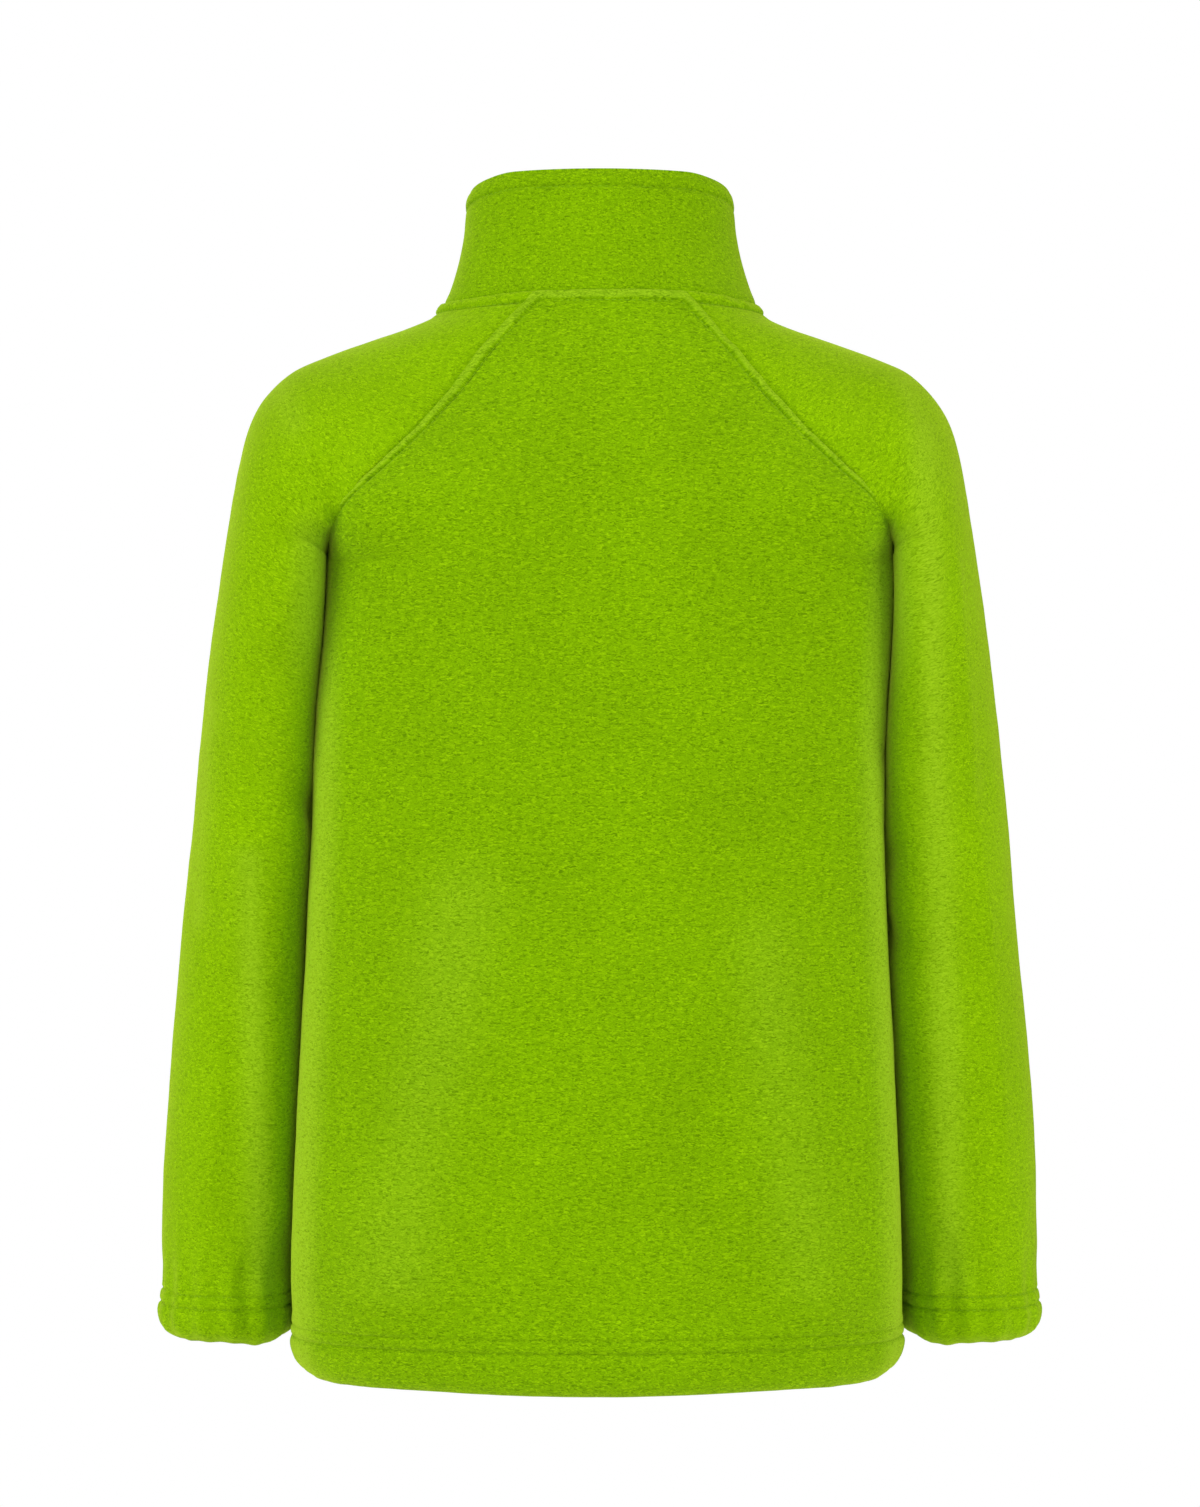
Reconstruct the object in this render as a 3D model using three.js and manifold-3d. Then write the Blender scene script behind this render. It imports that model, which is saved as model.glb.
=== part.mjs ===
// A child's fleece jacket, filled out and hollow: raglan sleeves that hang at the sides, a stand collar,
// a full-length front zip, a turned-up hem and turned-up cuffs gathered by elastic.
// Millimetres, +Z up. The front faces -Y and the wearer's left is +X. The origin is the middle of the
// neck between the shoulders.
import * as THREE from "three";
import { mergeVertices } from "three/addons/utils/BufferGeometryUtils.js";
import Module from "manifold-3d";

const wasm = await Module();
wasm.setup();

// Driving sizes
const CLOTH = 2; // one layer of fleece
const SIDE_GAP = 0.3; // between the back and a front along the side seam
const RAGLAN_GAP = 0.5; // between a sleeve and the body, which leaves 0.3 where the seam turns
const BAND_RAISE = 1.3; // how far a topstitched seam allowance stands up
const NECK = { halfWidth: 78, halfDepth: 60 }; // the neck seam, seen from above
const COLLAR = { cloth: 3.6, lift: 0.4, crest: 1 }; // two layers of fleece, turned over at the top
const ZIP = {
  halfGap: 6.5, // from the middle to the edge of the cloth
  tapeInner: 3.3,
  tapeOuter: 16,
  tapeCollar: 6.2, // the tape's edge where the rest of it is between the collar's layers
  tape: 1,
  depth: 2.4, // from the face of the cloth in to the tape
  tapeTop: 0.985, // share of the collar's height
  foot: -503.7, // where the chain and the tapes meet the box
};
const CHAIN = { halfWidth: 3, thick: 2.4, top: 0.9 };
const BOX = { halfWidth: 5.8, high: 11, thick: 3.4, z: -509.8 };
const SLIDER = { width: 10, high: 11, plate: 1.4, gap: 3, wedgeWidth: 5, wedgeHigh: 2.6, at: 0.87 };
const BRIDGE = { width: 1.6, long: 7.6, thick: 1.4, gap: 2.4 };
const PULL = { thick: 1.2, barHalf: 2.6, halfWidth: 3.6, window: 6.2, windowHalf: 1.4, long: 25, pivotY: -1.2 };
const CUFF = { waves: 15, fine: 3, swell: 1.1 }; // gathers round a cuff, and fine columns to one plain one
const LIME = { color: 0x8bc200, roughness: 0.95, metalness: 0 };
const LIME_ZIP = { color: 0x86b80c, roughness: 0.55, metalness: 0 };

// The top line of the shoulder and sleeve head, from the neck (at 0) to armpit height (at 1).
const RIDGE = [
  { at: 0, x: 78, z: 5 },
  { at: 0.065, x: 84.2, z: -1 },
  { at: 0.149, x: 95.6, z: -6 },
  { at: 0.247, x: 110.6, z: -11 },
  { at: 0.347, x: 125.4, z: -16 },
  { at: 0.441, x: 139.2, z: -21 },
  { at: 0.517, x: 150.5, z: -26 },
  { at: 0.575, x: 157.8, z: -31 },
  { at: 0.666, x: 167.5, z: -41 },
  { at: 0.744, x: 173.4, z: -51 },
  { at: 0.814, x: 177, z: -61 },
  { at: 0.9, x: 180.2, z: -75 },
  { at: 1, x: 182.6, z: -89 },
];

// The raglan seams from the neck (at 0) to the underarm point (at 1). turn is how far round the sleeve the
// seam lies from the ridge, depth the sleeve's half depth there, side the seam's angle on the body, and
// midY and midZ the middle of the panel at that height.
const BACK_YOKE = [
  { at: 0, x: 36.5, z: 7.5, turn: 62.1, depth: 60, side: 27.9, midY: 60, midZ: 8 },
  { at: 0.2, x: 59.4, z: -17.3, turn: 68, depth: 61.5, side: 36, midY: 70, midZ: -17 },
  { at: 0.4, x: 80, z: -43.5, turn: 77, depth: 63, side: 45, midY: 80, midZ: -43.5 },
  { at: 0.6, x: 102.3, z: -68.3, turn: 89, depth: 65, side: 56, midY: 88, midZ: -68.3 },
  { at: 0.8, x: 124.6, z: -93.2, turn: 113, depth: 66, side: 69, midY: 94, midZ: -93.2 },
  { at: 0.9, x: 135, z: -106.2, turn: 140, depth: 66, side: 78.5, midY: 96.5, midZ: -106.2 },
  { at: 1, x: 140.6, z: -122, turn: 180, depth: 65, side: 90, midY: 98.5, midZ: -122 },
];
const FRONT_YOKE = [
  { at: 0, x: 50, z: -15, turn: 50, depth: 60, side: 40, midY: 60, midZ: -29.8 },
  { at: 0.2, x: 68.5, z: -34, turn: 60, depth: 62, side: 45, midY: 67.5, midZ: -44 },
  { at: 0.4, x: 86, z: -55, turn: 73, depth: 64, side: 52, midY: 76, midZ: -60 },
  { at: 0.6, x: 105, z: -76, turn: 88, depth: 65, side: 60, midY: 84.5, midZ: -78 },
  { at: 0.8, x: 125.5, z: -98, turn: 115, depth: 65.5, side: 70, midY: 92, midZ: -98 },
  { at: 0.9, x: 135, z: -108.5, turn: 142, depth: 65.5, side: 79, midY: 95, midZ: -109 },
  { at: 1, x: 140.6, z: -122, turn: 180, depth: 65, side: 90, midY: 97, midZ: -122 },
];

// The body below the arms: z in the middle of a panel, and sideZ of the same row at the side seam.
const BODY = [
  { z: -122, sideZ: -122, half: 140.6, back: 98.5, front: 97 },
  { z: -191, sideZ: -191, half: 141, back: 100.5, front: 98 },
  { z: -241, sideZ: -241, half: 141.4, back: 101, front: 98.5 },
  { z: -291, sideZ: -291, half: 143.2, back: 102, front: 99 },
  { z: -341, sideZ: -341, half: 145.3, back: 103.5, front: 100 },
  { z: -391, sideZ: -392, half: 148, back: 105, front: 101.5 },
  { z: -441, sideZ: -443, half: 150.3, back: 106.5, front: 103 },
  { z: -480, sideZ: -484, half: 151.4, back: 107.5, front: 104 },
  { z: -497, sideZ: -501, half: 151.6, back: 108, front: 104.5 },
  { z: -508, sideZ: -510, half: 151.6, back: 108, front: 104.5 },
  { z: -516, sideZ: -515.5, half: 150.2, back: 107, front: 103.4 },
  { z: -521.5, sideZ: -519, half: 147.6, back: 105, front: 101.4 },
  { z: -524.5, sideZ: -521, half: 144.6, back: 102, front: 98.4 },
];

// The sleeve below the armpit: ridge point, height of the inner side, half depth, middle in Y, the gap to
// the body, and how far the turned edge is drawn in.
const SLEEVE = [
  { z: -89, x: 182.6, innerZ: -122, depth: 65, midY: 0, clear: 0, draw: 0 },
  { z: -105, x: 185.2, innerZ: -134, depth: 64.8, midY: 0, clear: 0.9, draw: 0 },
  { z: -125, x: 188.3, innerZ: -150, depth: 64, midY: -1, clear: 1.2, draw: 0 },
  { z: -155, x: 192.7, innerZ: -174, depth: 62.5, midY: -3, clear: 1.2, draw: 0 },
  { z: -195, x: 197.9, innerZ: -207, depth: 60, midY: -5.5, clear: 1.2, draw: 0 },
  { z: -240, x: 202.9, innerZ: -246, depth: 57, midY: -8.5, clear: 1.2, draw: 0 },
  { z: -290, x: 207.8, innerZ: -293, depth: 54, midY: -12, clear: 1.2, draw: 0 },
  { z: -340, x: 212.7, innerZ: -341, depth: 51, midY: -15, clear: 1.3, draw: 0 },
  { z: -390, x: 217.5, innerZ: -390, depth: 48, midY: -18, clear: 1.6, draw: 0 },
  { z: -430, x: 219.9, innerZ: -430, depth: 45.5, midY: -20.5, clear: 2.4, draw: 0 },
  { z: -462, x: 220.6, innerZ: -462, depth: 43.5, midY: -22.5, clear: 4, draw: 0 },
  { z: -484, x: 219.6, innerZ: -484, depth: 42, midY: -23.5, clear: 5, draw: 0 },
  { z: -499, x: 221.4, innerZ: -499, depth: 42, midY: -24, clear: 5.2, draw: 0 },
  { z: -505, x: 221.4, innerZ: -505, depth: 42, midY: -24, clear: 5.2, draw: 1 },
  { z: -508.5, x: 221.4, innerZ: -508.5, depth: 42, midY: -24, clear: 5.2, draw: 4 },
  { z: -511, x: 221.4, innerZ: -511, depth: 42, midY: -24, clear: 5.2, draw: 8 },
];

// The collar: its width against the neck's at each share of its height, and its top edge by angle from the
// centre back.
const COLLAR_TAPER = [
  { at: 0, k: 1 },
  { at: 0.06, k: 0.991 },
  { at: 0.15, k: 0.965 },
  { at: 0.33, k: 0.923 },
  { at: 0.51, k: 0.891 },
  { at: 0.69, k: 0.87 },
  { at: 0.84, k: 0.86 },
  { at: 1, k: 0.846 },
];
const COLLAR_TOP = [
  { angle: 0, z: 67.4 },
  { angle: 40, z: 67.4 },
  { angle: 60, z: 65.2 },
  { angle: 90, z: 59.5 },
  { angle: 120, z: 49.5 },
  { angle: 150, z: 38.5 },
  { angle: 180, z: 33 },
];

// How far the middle of the back hangs off centre: it sits askew at the shoulders and comes back lower down.
const LEAN = [
  { z: -290, x: 1.5 },
  { z: -215, x: 0 },
  { z: -125, x: -5.5 },
  { z: 20, x: -5 },
  { z: 50, x: 0 },
];

// Soft folds of the body: a line from (x, z) to (toX, toZ), its half width, and its height (a trough is
// below 0), on the back (face 1) or the front (face -1).
const FOLDS = [
  { face: 1, x: 66, z: -290, toX: 104, toZ: -486, half: 27, high: 3.4 },
  { face: 1, x: -78, z: -310, toX: -104, toZ: -486, half: 20, high: 3 },
  { face: 1, x: 22, z: -370, toX: 2, toZ: -488, half: 19, high: -2.8 },
  { face: 1, x: -46, z: -410, toX: -62, toZ: -488, half: 15, high: -2 },
  { face: 1, x: 60, z: -150, toX: 104, toZ: -215, half: 20, high: -1.6 },
  { face: -1, x: 82, z: -290, toX: 96, toZ: -480, half: 24, high: 3 },
  { face: -1, x: -70, z: -320, toX: -92, toZ: -484, half: 22, high: 3.2 },
  { face: -1, x: 48, z: -400, toX: 44, toZ: -488, half: 15, high: -2.2 },
  { face: -1, x: -96, z: -150, toX: -60, toZ: -205, half: 20, high: -1.8 },
];
// Folds of a sleeve: from a height and an angle round it (0 is the ridge, positive on the back) to another.
const SLEEVE_FOLDS = [
  { side: 1, z: -95, turn: 118, toZ: -150, toTurn: 96, half: 13, high: 3 },
  { side: 1, z: -215, turn: 60, toZ: -240, toTurn: 150, half: 13, high: -2 },
  { side: 1, z: -300, turn: 40, toZ: -330, toTurn: 120, half: 14, high: -1.6 },
  { side: 1, z: -150, turn: -110, toZ: -250, toTurn: -90, half: 14, high: 2 },
  { side: -1, z: -85, turn: 112, toZ: -190, toTurn: 104, half: 12, high: 3.4 },
  { side: -1, z: -235, turn: 50, toZ: -265, toTurn: 140, half: 14, high: -1.9 },
  { side: -1, z: -330, turn: 70, toZ: -300, toTurn: 160, half: 13, high: -1.6 },
  { side: -1, z: -170, turn: -100, toZ: -260, toTurn: -80, half: 14, high: 2 },
];

const TURN_MM = 0.85; // millimetres round a sleeve for one degree
const FOLD_END = { body: 4.58, sleeve: 4.3 }; // the rows where the folds begin to die away

// Rows and columns of the walls. A raised row or column has its height in raise.
const YOKE_ROWS = [0.12, 0.206, 0.3, 0.4, 0.5, 0.6, 0.7, 0.8, 0.87, 0.94, 1];
const BAND_ACROSS = [
  { in: 0, raise: 0.7 },
  { in: 1.5, raise: 1 },
  { in: 5.8, raise: 1 },
  { in: 7.8, raise: 0 },
];
// The height of the band beside a raglan seam, by its place down the yoke. It ends before the underarm point.
const BAND_HIGH = [
  { at: 0, high: 1.3 },
  { at: 0.6, high: 1.3 },
  { at: 0.76, high: 0.4 },
  { at: 0.82, high: 0.35 },
  { at: 0.9, high: 0 },
  { at: 1, high: 0 },
];
const YOKE_LENGTH = 166; // along a raglan seam
const BODY_ROWS = [-150, -191, -241, -291, -341, -391, -441, -480];
const HEM_ROWS = [
  { z: -493.5, raise: 0 },
  { z: -496, raise: 0.9 },
  { z: -497.3, raise: 0.1 },
  { z: -499, raise: 1.3 },
  { z: -502.4, raise: 1.3 },
  { z: -504, raise: 0.3 },
  { z: -506.5, raise: 1.5 },
  { z: -514, raise: 1.5 },
  { z: -521, raise: 1.2 },
  { z: -524.5, raise: 0.5 },
];
const SLEEVE_ROWS = [-105, -125, -155, -195, -240, -290, -340, -390, -430, -458];
const CUFF_ROWS = [
  { z: -474, raise: 0, gather: 0.5 },
  { z: -484, raise: 0.3, gather: 0.9 },
  { z: -487, raise: -0.6, gather: 0.8 },
  { z: -489.2, raise: 1, gather: 0.8 },
  { z: -492.2, raise: 1, gather: 0.8 },
  { z: -494, raise: -0.4, gather: 0.9 },
  { z: -496.8, raise: 1.2, gather: 1 },
  { z: -504, raise: 1.2, gather: 1 },
  { z: -508.5, raise: 0.8, gather: 0.8 },
  { z: -511, raise: 0, gather: 0.5 },
];
const COLLAR_ROWS = [
  { at: 0, raise: 0 },
  { at: 0.15, raise: 0 },
  { at: 0.4, raise: 0 },
  { at: 0.65, raise: 0 },
  { at: 0.83, raise: 0.1 },
  { at: 0.872, raise: -1 },
  { at: 0.91, raise: 0.35 },
  { at: 0.97, raise: 0.1 },
  { at: 1, raise: -0.7 },
];
const COLLAR_INSIDE = [
  { at: 1, raise: 0.7 },
  { at: 0.93, raise: 0 },
  { at: 0.6, raise: 0 },
  { at: 0.25, raise: 0 },
  { at: 0, raise: 0 },
];
const ZIP_ON_COLLAR = [0.87, 0.7, 0.5, 0.3, 0.15, 0.03];
const ZIP_EDGE = [
  { x: 6.5, raise: 0.5 },
  { x: 7.5, raise: 0.9 },
  { x: 13, raise: 0.9 },
  { x: 14.6, raise: 0 },
];
const PANEL_COLUMNS = 9; // plain columns in half a back
const FRONT_COLUMNS = 7;
const SLEEVE_COLUMNS = 10; // in half a sleeve
const COLLAR_COLUMNS = 36;

const DEG = Math.PI / 180;
const mix = (a, b, t) => a + (b - a) * t;
const clamp = (v) => Math.min(1, Math.max(0, v));
const step = (from, to, v) => {
  const t = clamp((v - from) / (to - from));
  return t * t * (3 - 2 * t);
};
const vec = (x, y, z) => new THREE.Vector3(x, y, z);

// A smooth function through one column of a table, with no overshoot between its rows.
function through(table, key, column) {
  const rows = [...table].sort((a, b) => a[key] - b[key]);
  const k = rows.map((r) => r[key]);
  const v = rows.map((r) => r[column]);
  const slope = k.slice(1).map((_, i) => (v[i + 1] - v[i]) / (k[i + 1] - k[i]));
  const tangent = v.map((_, i) => {
    if (i === 0) return slope[0];
    if (i === v.length - 1) return slope[i - 1];
    if (slope[i - 1] * slope[i] <= 0) return 0;
    const before = k[i] - k[i - 1];
    const after = k[i + 1] - k[i];
    const w1 = 2 * after + before;
    const w2 = after + 2 * before;
    return (w1 + w2) / (w1 / slope[i - 1] + w2 / slope[i]);
  });
  return (at) => {
    const x = Math.min(k[k.length - 1], Math.max(k[0], at));
    let i = 0;
    while (i < k.length - 2 && x > k[i + 1]) i += 1;
    const h = k[i + 1] - k[i];
    const t = (x - k[i]) / h;
    const t2 = t * t;
    const t3 = t2 * t;
    return (
      (2 * t3 - 3 * t2 + 1) * v[i] +
      (t3 - 2 * t2 + t) * h * tangent[i] +
      (3 * t2 - 2 * t3) * v[i + 1] +
      (t3 - t2) * h * tangent[i + 1]
    );
  };
}

// Every column of a table as a function of its key.
function curves(table, key) {
  const names = Object.keys(table[0]).filter((name) => name !== key);
  return Object.fromEntries(names.map((name) => [name, through(table, key, name)]));
}

const ridge = curves(RIDGE, "at");
const yoke = { 1: curves(BACK_YOKE, "at"), "-1": curves(FRONT_YOKE, "at") };
const body = curves(BODY, "z");
const sleeve = curves(SLEEVE, "z");
const taper = curves(COLLAR_TAPER, "at");
const collarTop = curves(COLLAR_TOP, "angle");
const lean = curves(LEAN, "z");
const bandHigh = through(BAND_HIGH, "at", "high");

// The whole jacket leans a little at the back, less towards the outside of the sleeves and the front.
function leaned(p) {
  const outside = mix(188, 80, step(-100, 5, p.z));
  const start = mix(0.75, 0.45, step(-100, 5, p.z)) * outside;
  const share = (1 - step(start, 0.97 * outside, Math.abs(p.x))) * step(-70, -5, p.y);
  return vec(p.x + lean.x(p.z) * share, p.y, p.z);
}

// The height of the folds at a point whose place is (a, b) on a surface laid out in millimetres.
function foldHeight(folds, a, b) {
  let high = 0;
  for (const f of folds) {
    const along = vec(f.toA - f.a, f.toB - f.b, 0);
    const t = ((a - f.a) * along.x + (b - f.b) * along.y) / along.lengthSq();
    const near = clamp(t);
    const off = Math.hypot(a - f.a - along.x * near, b - f.b - along.y * near) / f.half;
    high += f.high * Math.exp(-off * off * 1.6);
  }
  return high;
}
const bodyFolds = (face) =>
  FOLDS.filter((f) => f.face === face).map((f) => ({
    a: f.x,
    b: f.z,
    toA: f.toX,
    toB: f.toZ,
    half: f.half,
    high: f.high,
  }));
const sleeveFolds = (side) =>
  SLEEVE_FOLDS.filter((f) => f.side === side).map((f) => ({
    a: f.turn * TURN_MM,
    b: f.z,
    toA: f.toTurn * TURN_MM,
    toB: f.toZ,
    half: f.half,
    high: f.high,
  }));
const FOLDS_OF_BODY = { 1: bodyFolds(1), "-1": bodyFolds(-1) };
const FOLDS_OF_SLEEVE = { 1: sleeveFolds(1), "-1": sleeveFolds(-1) };

// A body panel's plain surface. row.at is a share of the yoke, or row.z a height below the arms. across
// runs from -1 at the right side of the wearer to 1 at the left.
function bodyBase(face, row, across) {
  if (row.z !== undefined) {
    const turn = across * 90 * DEG;
    const deep = face > 0 ? body.back(row.z) : body.front(row.z);
    const high = mix(body.sideZ(row.z), row.z, Math.cos(turn));
    return leaned(vec(body.half(row.z) * Math.sin(turn), face * deep * Math.cos(turn), high));
  }
  const y = yoke[face];
  const at = row.at;
  const end = y.side(at) * DEG;
  const turn = across * end;
  const share = (Math.cos(turn) - Math.cos(end)) / (1 - Math.cos(end));
  const seamY = y.depth(at) * Math.sin(y.turn(at) * DEG);
  return leaned(
    vec(
      (y.x(at) * Math.sin(turn)) / Math.sin(end),
      face * mix(seamY, y.midY(at), share),
      mix(y.z(at), y.midZ(at), share),
    ),
  );
}

// The sleeve's plain surface on one side of the body. around runs from -1 at the front seam over the ridge
// at 0 to 1 at the back seam; below the armpit it goes all the way round.
function sleeveBase(side, row, around) {
  const face = around < 0 ? -1 : 1;
  const top = vec(0, 0, 0);
  const inner = vec(0, 0, 0);
  let end = 180;
  let deep = 0;
  if (row.z !== undefined) {
    top.set(sleeve.x(row.z), sleeve.midY(row.z), row.z);
    const innerZ = sleeve.innerZ(row.z);
    const sideDepth = body.front(innerZ);
    const nearest = body.half(innerZ) * Math.sqrt(1 - (top.y / sideDepth) ** 2);
    inner.set(nearest + sleeve.clear(row.z), top.y, innerZ);
    deep = sleeve.depth(row.z);
  } else {
    const y = yoke[face];
    top.set(ridge.x(row.at), 0, ridge.z(row.at));
    inner.set(y.x(row.at), 0, y.z(row.at));
    end = y.turn(row.at);
    deep = y.depth(row.at);
  }
  const draw = row.z !== undefined ? sleeve.draw(row.z) : 0;
  const across = vec(top.x - inner.x, 0, top.z - inner.z);
  const half = across.length() / (1 - Math.cos(end * DEG));
  across.normalize();
  const turn = around * end * DEG;
  const middle = top.clone().addScaledVector(across, -half);
  const p = middle.addScaledVector(across, (half - draw) * Math.cos(turn));
  p.y += (deep - draw) * Math.sin(turn);
  return leaned(vec(side * p.x, p.y, p.z));
}

// The outward normal of a surface given as a function of two numbers, by small differences.
function normalOf(surface, u, v, limits) {
  const e = 1e-3;
  const u0 = Math.max(limits.uMin, u - e);
  const u1 = Math.min(limits.uMax, u + e);
  const v0 = Math.max(limits.vMin, v - e);
  const v1 = Math.min(limits.vMax, v + e);
  const du = surface(u1, v).sub(surface(u0, v));
  const dv = surface(u, v1).sub(surface(u, v0));
  return du.cross(dv).normalize();
}

// A row is counted by one number: 0 to 1 down the yoke, then 1 on, 100 mm to each unit.
const bodyRow = (g) => (g <= 1 ? { at: g } : { z: -122 - (g - 1) * 100 });
const sleeveRow = (g) => (g <= 1 ? { at: g } : { z: -89 - (g - 1) * 100 });
const bodyLevel = (z) => 1 + (-122 - z) / 100;
const sleeveLevel = (z) => 1 + (-89 - z) / 100;
const OPEN = { uMin: 0, uMax: 6, vMin: -1, vMax: 1 };
const ROUND = { uMin: 0, uMax: 6, vMin: -2, vMax: 2 };

function bodyNormal(face, g, across) {
  const n = normalOf((u, v) => bodyBase(face, bodyRow(u), v), g, across, OPEN);
  return face > 0 ? n.negate() : n;
}
function sleeveNormal(side, g, around) {
  const limits = g > 1 ? ROUND : OPEN;
  const n = normalOf((u, v) => sleeveBase(side, sleeveRow(u), v), g, around, limits);
  return side > 0 ? n : n.negate();
}

// The direction that both pieces share at a raglan seam, so that their edges lie side by side.
function seamNormal(side, face, at) {
  const ofBody = bodyNormal(face, at, side);
  const ofSleeve = sleeveNormal(side, at, face * 0.999);
  const both = ofBody.add(ofSleeve);
  if (at >= 1) both.y = 0;
  return both.normalize();
}

// From the body to the sleeve, across the seam.
function acrossSeam(side, face, at) {
  const y = yoke[face];
  return vec(side * (ridge.x(at) - y.x(at)), 0, ridge.z(at) - y.z(at)).normalize();
}

// A point of a body panel, with its normal. raise moves it out, and in moves it in.
function bodyPoint(face, g, across, raise) {
  const p = bodyBase(face, bodyRow(g), across);
  const atEdge = Math.abs(across) > 0.9999;
  const side = Math.sign(across) || 1;
  const n = g <= 1 && atEdge ? seamNormal(side, face, Math.min(g, 1)) : bodyNormal(face, g, across);
  const held = g > 1 ? 1 - step(FOLD_END.body, FOLD_END.body + 0.3, g) : step(0.75, 1, g);
  const fold = foldHeight(FOLDS_OF_BODY[face], p.x, p.z) * held * (1 - step(0.8, 1, Math.abs(across)));
  if (atEdge && g <= 1) p.addScaledVector(acrossSeam(side, face, g), -RAGLAN_GAP / 2);
  if (atEdge && g >= 1) p.y += (face * SIDE_GAP) / 2;
  return p.addScaledVector(n, fold + raise);
}

// A point of a sleeve, moved out by raise.
function sleevePoint(side, g, around, raise) {
  const row = sleeveRow(g);
  const p = sleeveBase(side, row, around);
  const open = g <= 1 && Math.abs(around) > 0.9999;
  const face = Math.sign(around) || 1;
  const n = open ? seamNormal(side, face, g) : sleeveNormal(side, g, around);
  const degrees = around * (g <= 1 ? yoke[face].turn(g) : 180);
  const high = row.z ?? p.z;
  const seam = step(150, 178, Math.abs(degrees));
  const held = step(0.7, 1, g) * (1 - step(FOLD_END.sleeve, FOLD_END.sleeve + 0.4, g)) * (1 - seam);
  const fold = foldHeight(FOLDS_OF_SLEEVE[side], degrees * TURN_MM, high) * held;
  if (open) p.addScaledVector(acrossSeam(side, face, g), RAGLAN_GAP / 2);
  return p.addScaledVector(n, fold + raise);
}

// The gathers of a cuff: soft waves round it, taller at some places than at others.
function gathers(around) {
  const turn = around * Math.PI;
  const uneven = 1 + 0.3 * Math.cos(3 * turn + 1) + 0.2 * Math.cos(5 * turn + 2.5);
  return CUFF.swell * uneven * Math.cos(CUFF.waves * turn);
}

// A point of the neck seam at an angle from the centre back, left of the wearer above 0.
function neckPoint(angle) {
  const side = Math.sign(angle) || 1;
  const a = Math.abs(angle);
  const backEnd = yoke[1].side(0);
  const frontEnd = yoke[-1].side(0);
  if (a <= backEnd) return bodyBase(1, { at: 0 }, (side * a) / backEnd);
  if (a >= 180 - frontEnd) return bodyBase(-1, { at: 0 }, (side * (180 - a)) / frontEnd);
  const turn = 90 - a;
  return sleeveBase(side, { at: 0 }, turn > 0 ? turn / yoke[1].turn(0) : turn / yoke[-1].turn(0));
}

// A point of the collar's outside, moved out by raise.
function collarPoint(angle, at, raise) {
  const foot = neckPoint(angle);
  const k = taper.k(at);
  const t = angle * DEG;
  const n = vec(Math.sin(t) / NECK.halfWidth, Math.cos(t) / NECK.halfDepth, 0).normalize();
  const high = mix(foot.z + COLLAR.lift, collarTop.z(Math.abs(angle)), at);
  const moved = foot.x - NECK.halfWidth * Math.sin(t);
  const p = vec(NECK.halfWidth * k * Math.sin(t) + moved * (1 - step(0, 0.7, at)), 0, high);
  p.y = NECK.halfDepth * k * Math.cos(t);
  return p.addScaledVector(n, raise);
}

// Joins two rows of points with triangles. Seen from outside, row a is above row b and both run to the
// right. They may differ in number, and keysA and keysB then say how far along each point is.
function joinRows(triangles, a, b, keysA, keysB) {
  const along = (list, keys, i) => (keys ? keys[i] : i / (list.length - 1));
  let i = 0;
  let j = 0;
  while (i < a.length - 1 || j < b.length - 1) {
    const nextA = i < a.length - 1 ? along(a, keysA, i + 1) : Infinity;
    const nextB = j < b.length - 1 ? along(b, keysB, j + 1) : Infinity;
    if (nextA < nextB - 1e-9) {
      triangles.push([a[i], b[j], a[i + 1]]);
      i += 1;
    } else {
      triangles.push([a[i], b[j], b[j + 1]]);
      j += 1;
    }
  }
}

// One closed geometry from triangles of points, with shared corners merged and empty triangles dropped.
function closedGeometry(triangles) {
  const key = (p) => [p.x, p.y, p.z].map((v) => Math.round(v * 1000)).join(" ");
  const flat = triangles.flatMap((t) =>
    new Set(t.map(key)).size < 3 ? [] : t.flatMap((p) => [p.x, p.y, p.z]),
  );
  const g = new THREE.BufferGeometry();
  g.setAttribute("position", new THREE.Float32BufferAttribute(flat, 3));
  const merged = mergeVertices(g, 1e-3);
  merged.computeVertexNormals();
  return merged;
}

// A wall between outside rows and inside rows, from the top down. Each row has its place (g) and its points.
// A tube's rows end at the point where they start, so its two edges need no closing.
function clothWall(outside, inside, openDownTo = Infinity) {
  const triangles = [];
  const inward = [];
  outside.slice(1).forEach((row, i) => joinRows(triangles, outside[i].points, row.points));
  inside.slice(1).forEach((row, i) => joinRows(inward, inside[i].points, row.points));
  inward.forEach(([a, b, c]) => triangles.push([a, c, b]));
  joinRows(triangles, inside[0].points, outside[0].points);
  joinRows(triangles, outside.at(-1).points, inside.at(-1).points);
  const outer = outside.filter((row) => row.g <= openDownTo);
  const inner = inside.filter((row) => row.g <= openDownTo);
  const places = (rows) => rows.map((row) => row.g);
  const firsts = (rows) => rows.map((row) => row.points[0]);
  const lasts = (rows) => rows.map((row) => row.points.at(-1));
  // Both edges of a seam are split the same way, so that they stay side by side where they twist.
  const early = places(inner).map((g) => g - 1e-6);
  joinRows(triangles, firsts(outer), firsts(inner), places(outer), places(inner));
  joinRows(triangles, lasts(inner), lasts(outer), early, places(outer));
  return closedGeometry(triangles);
}

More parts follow.
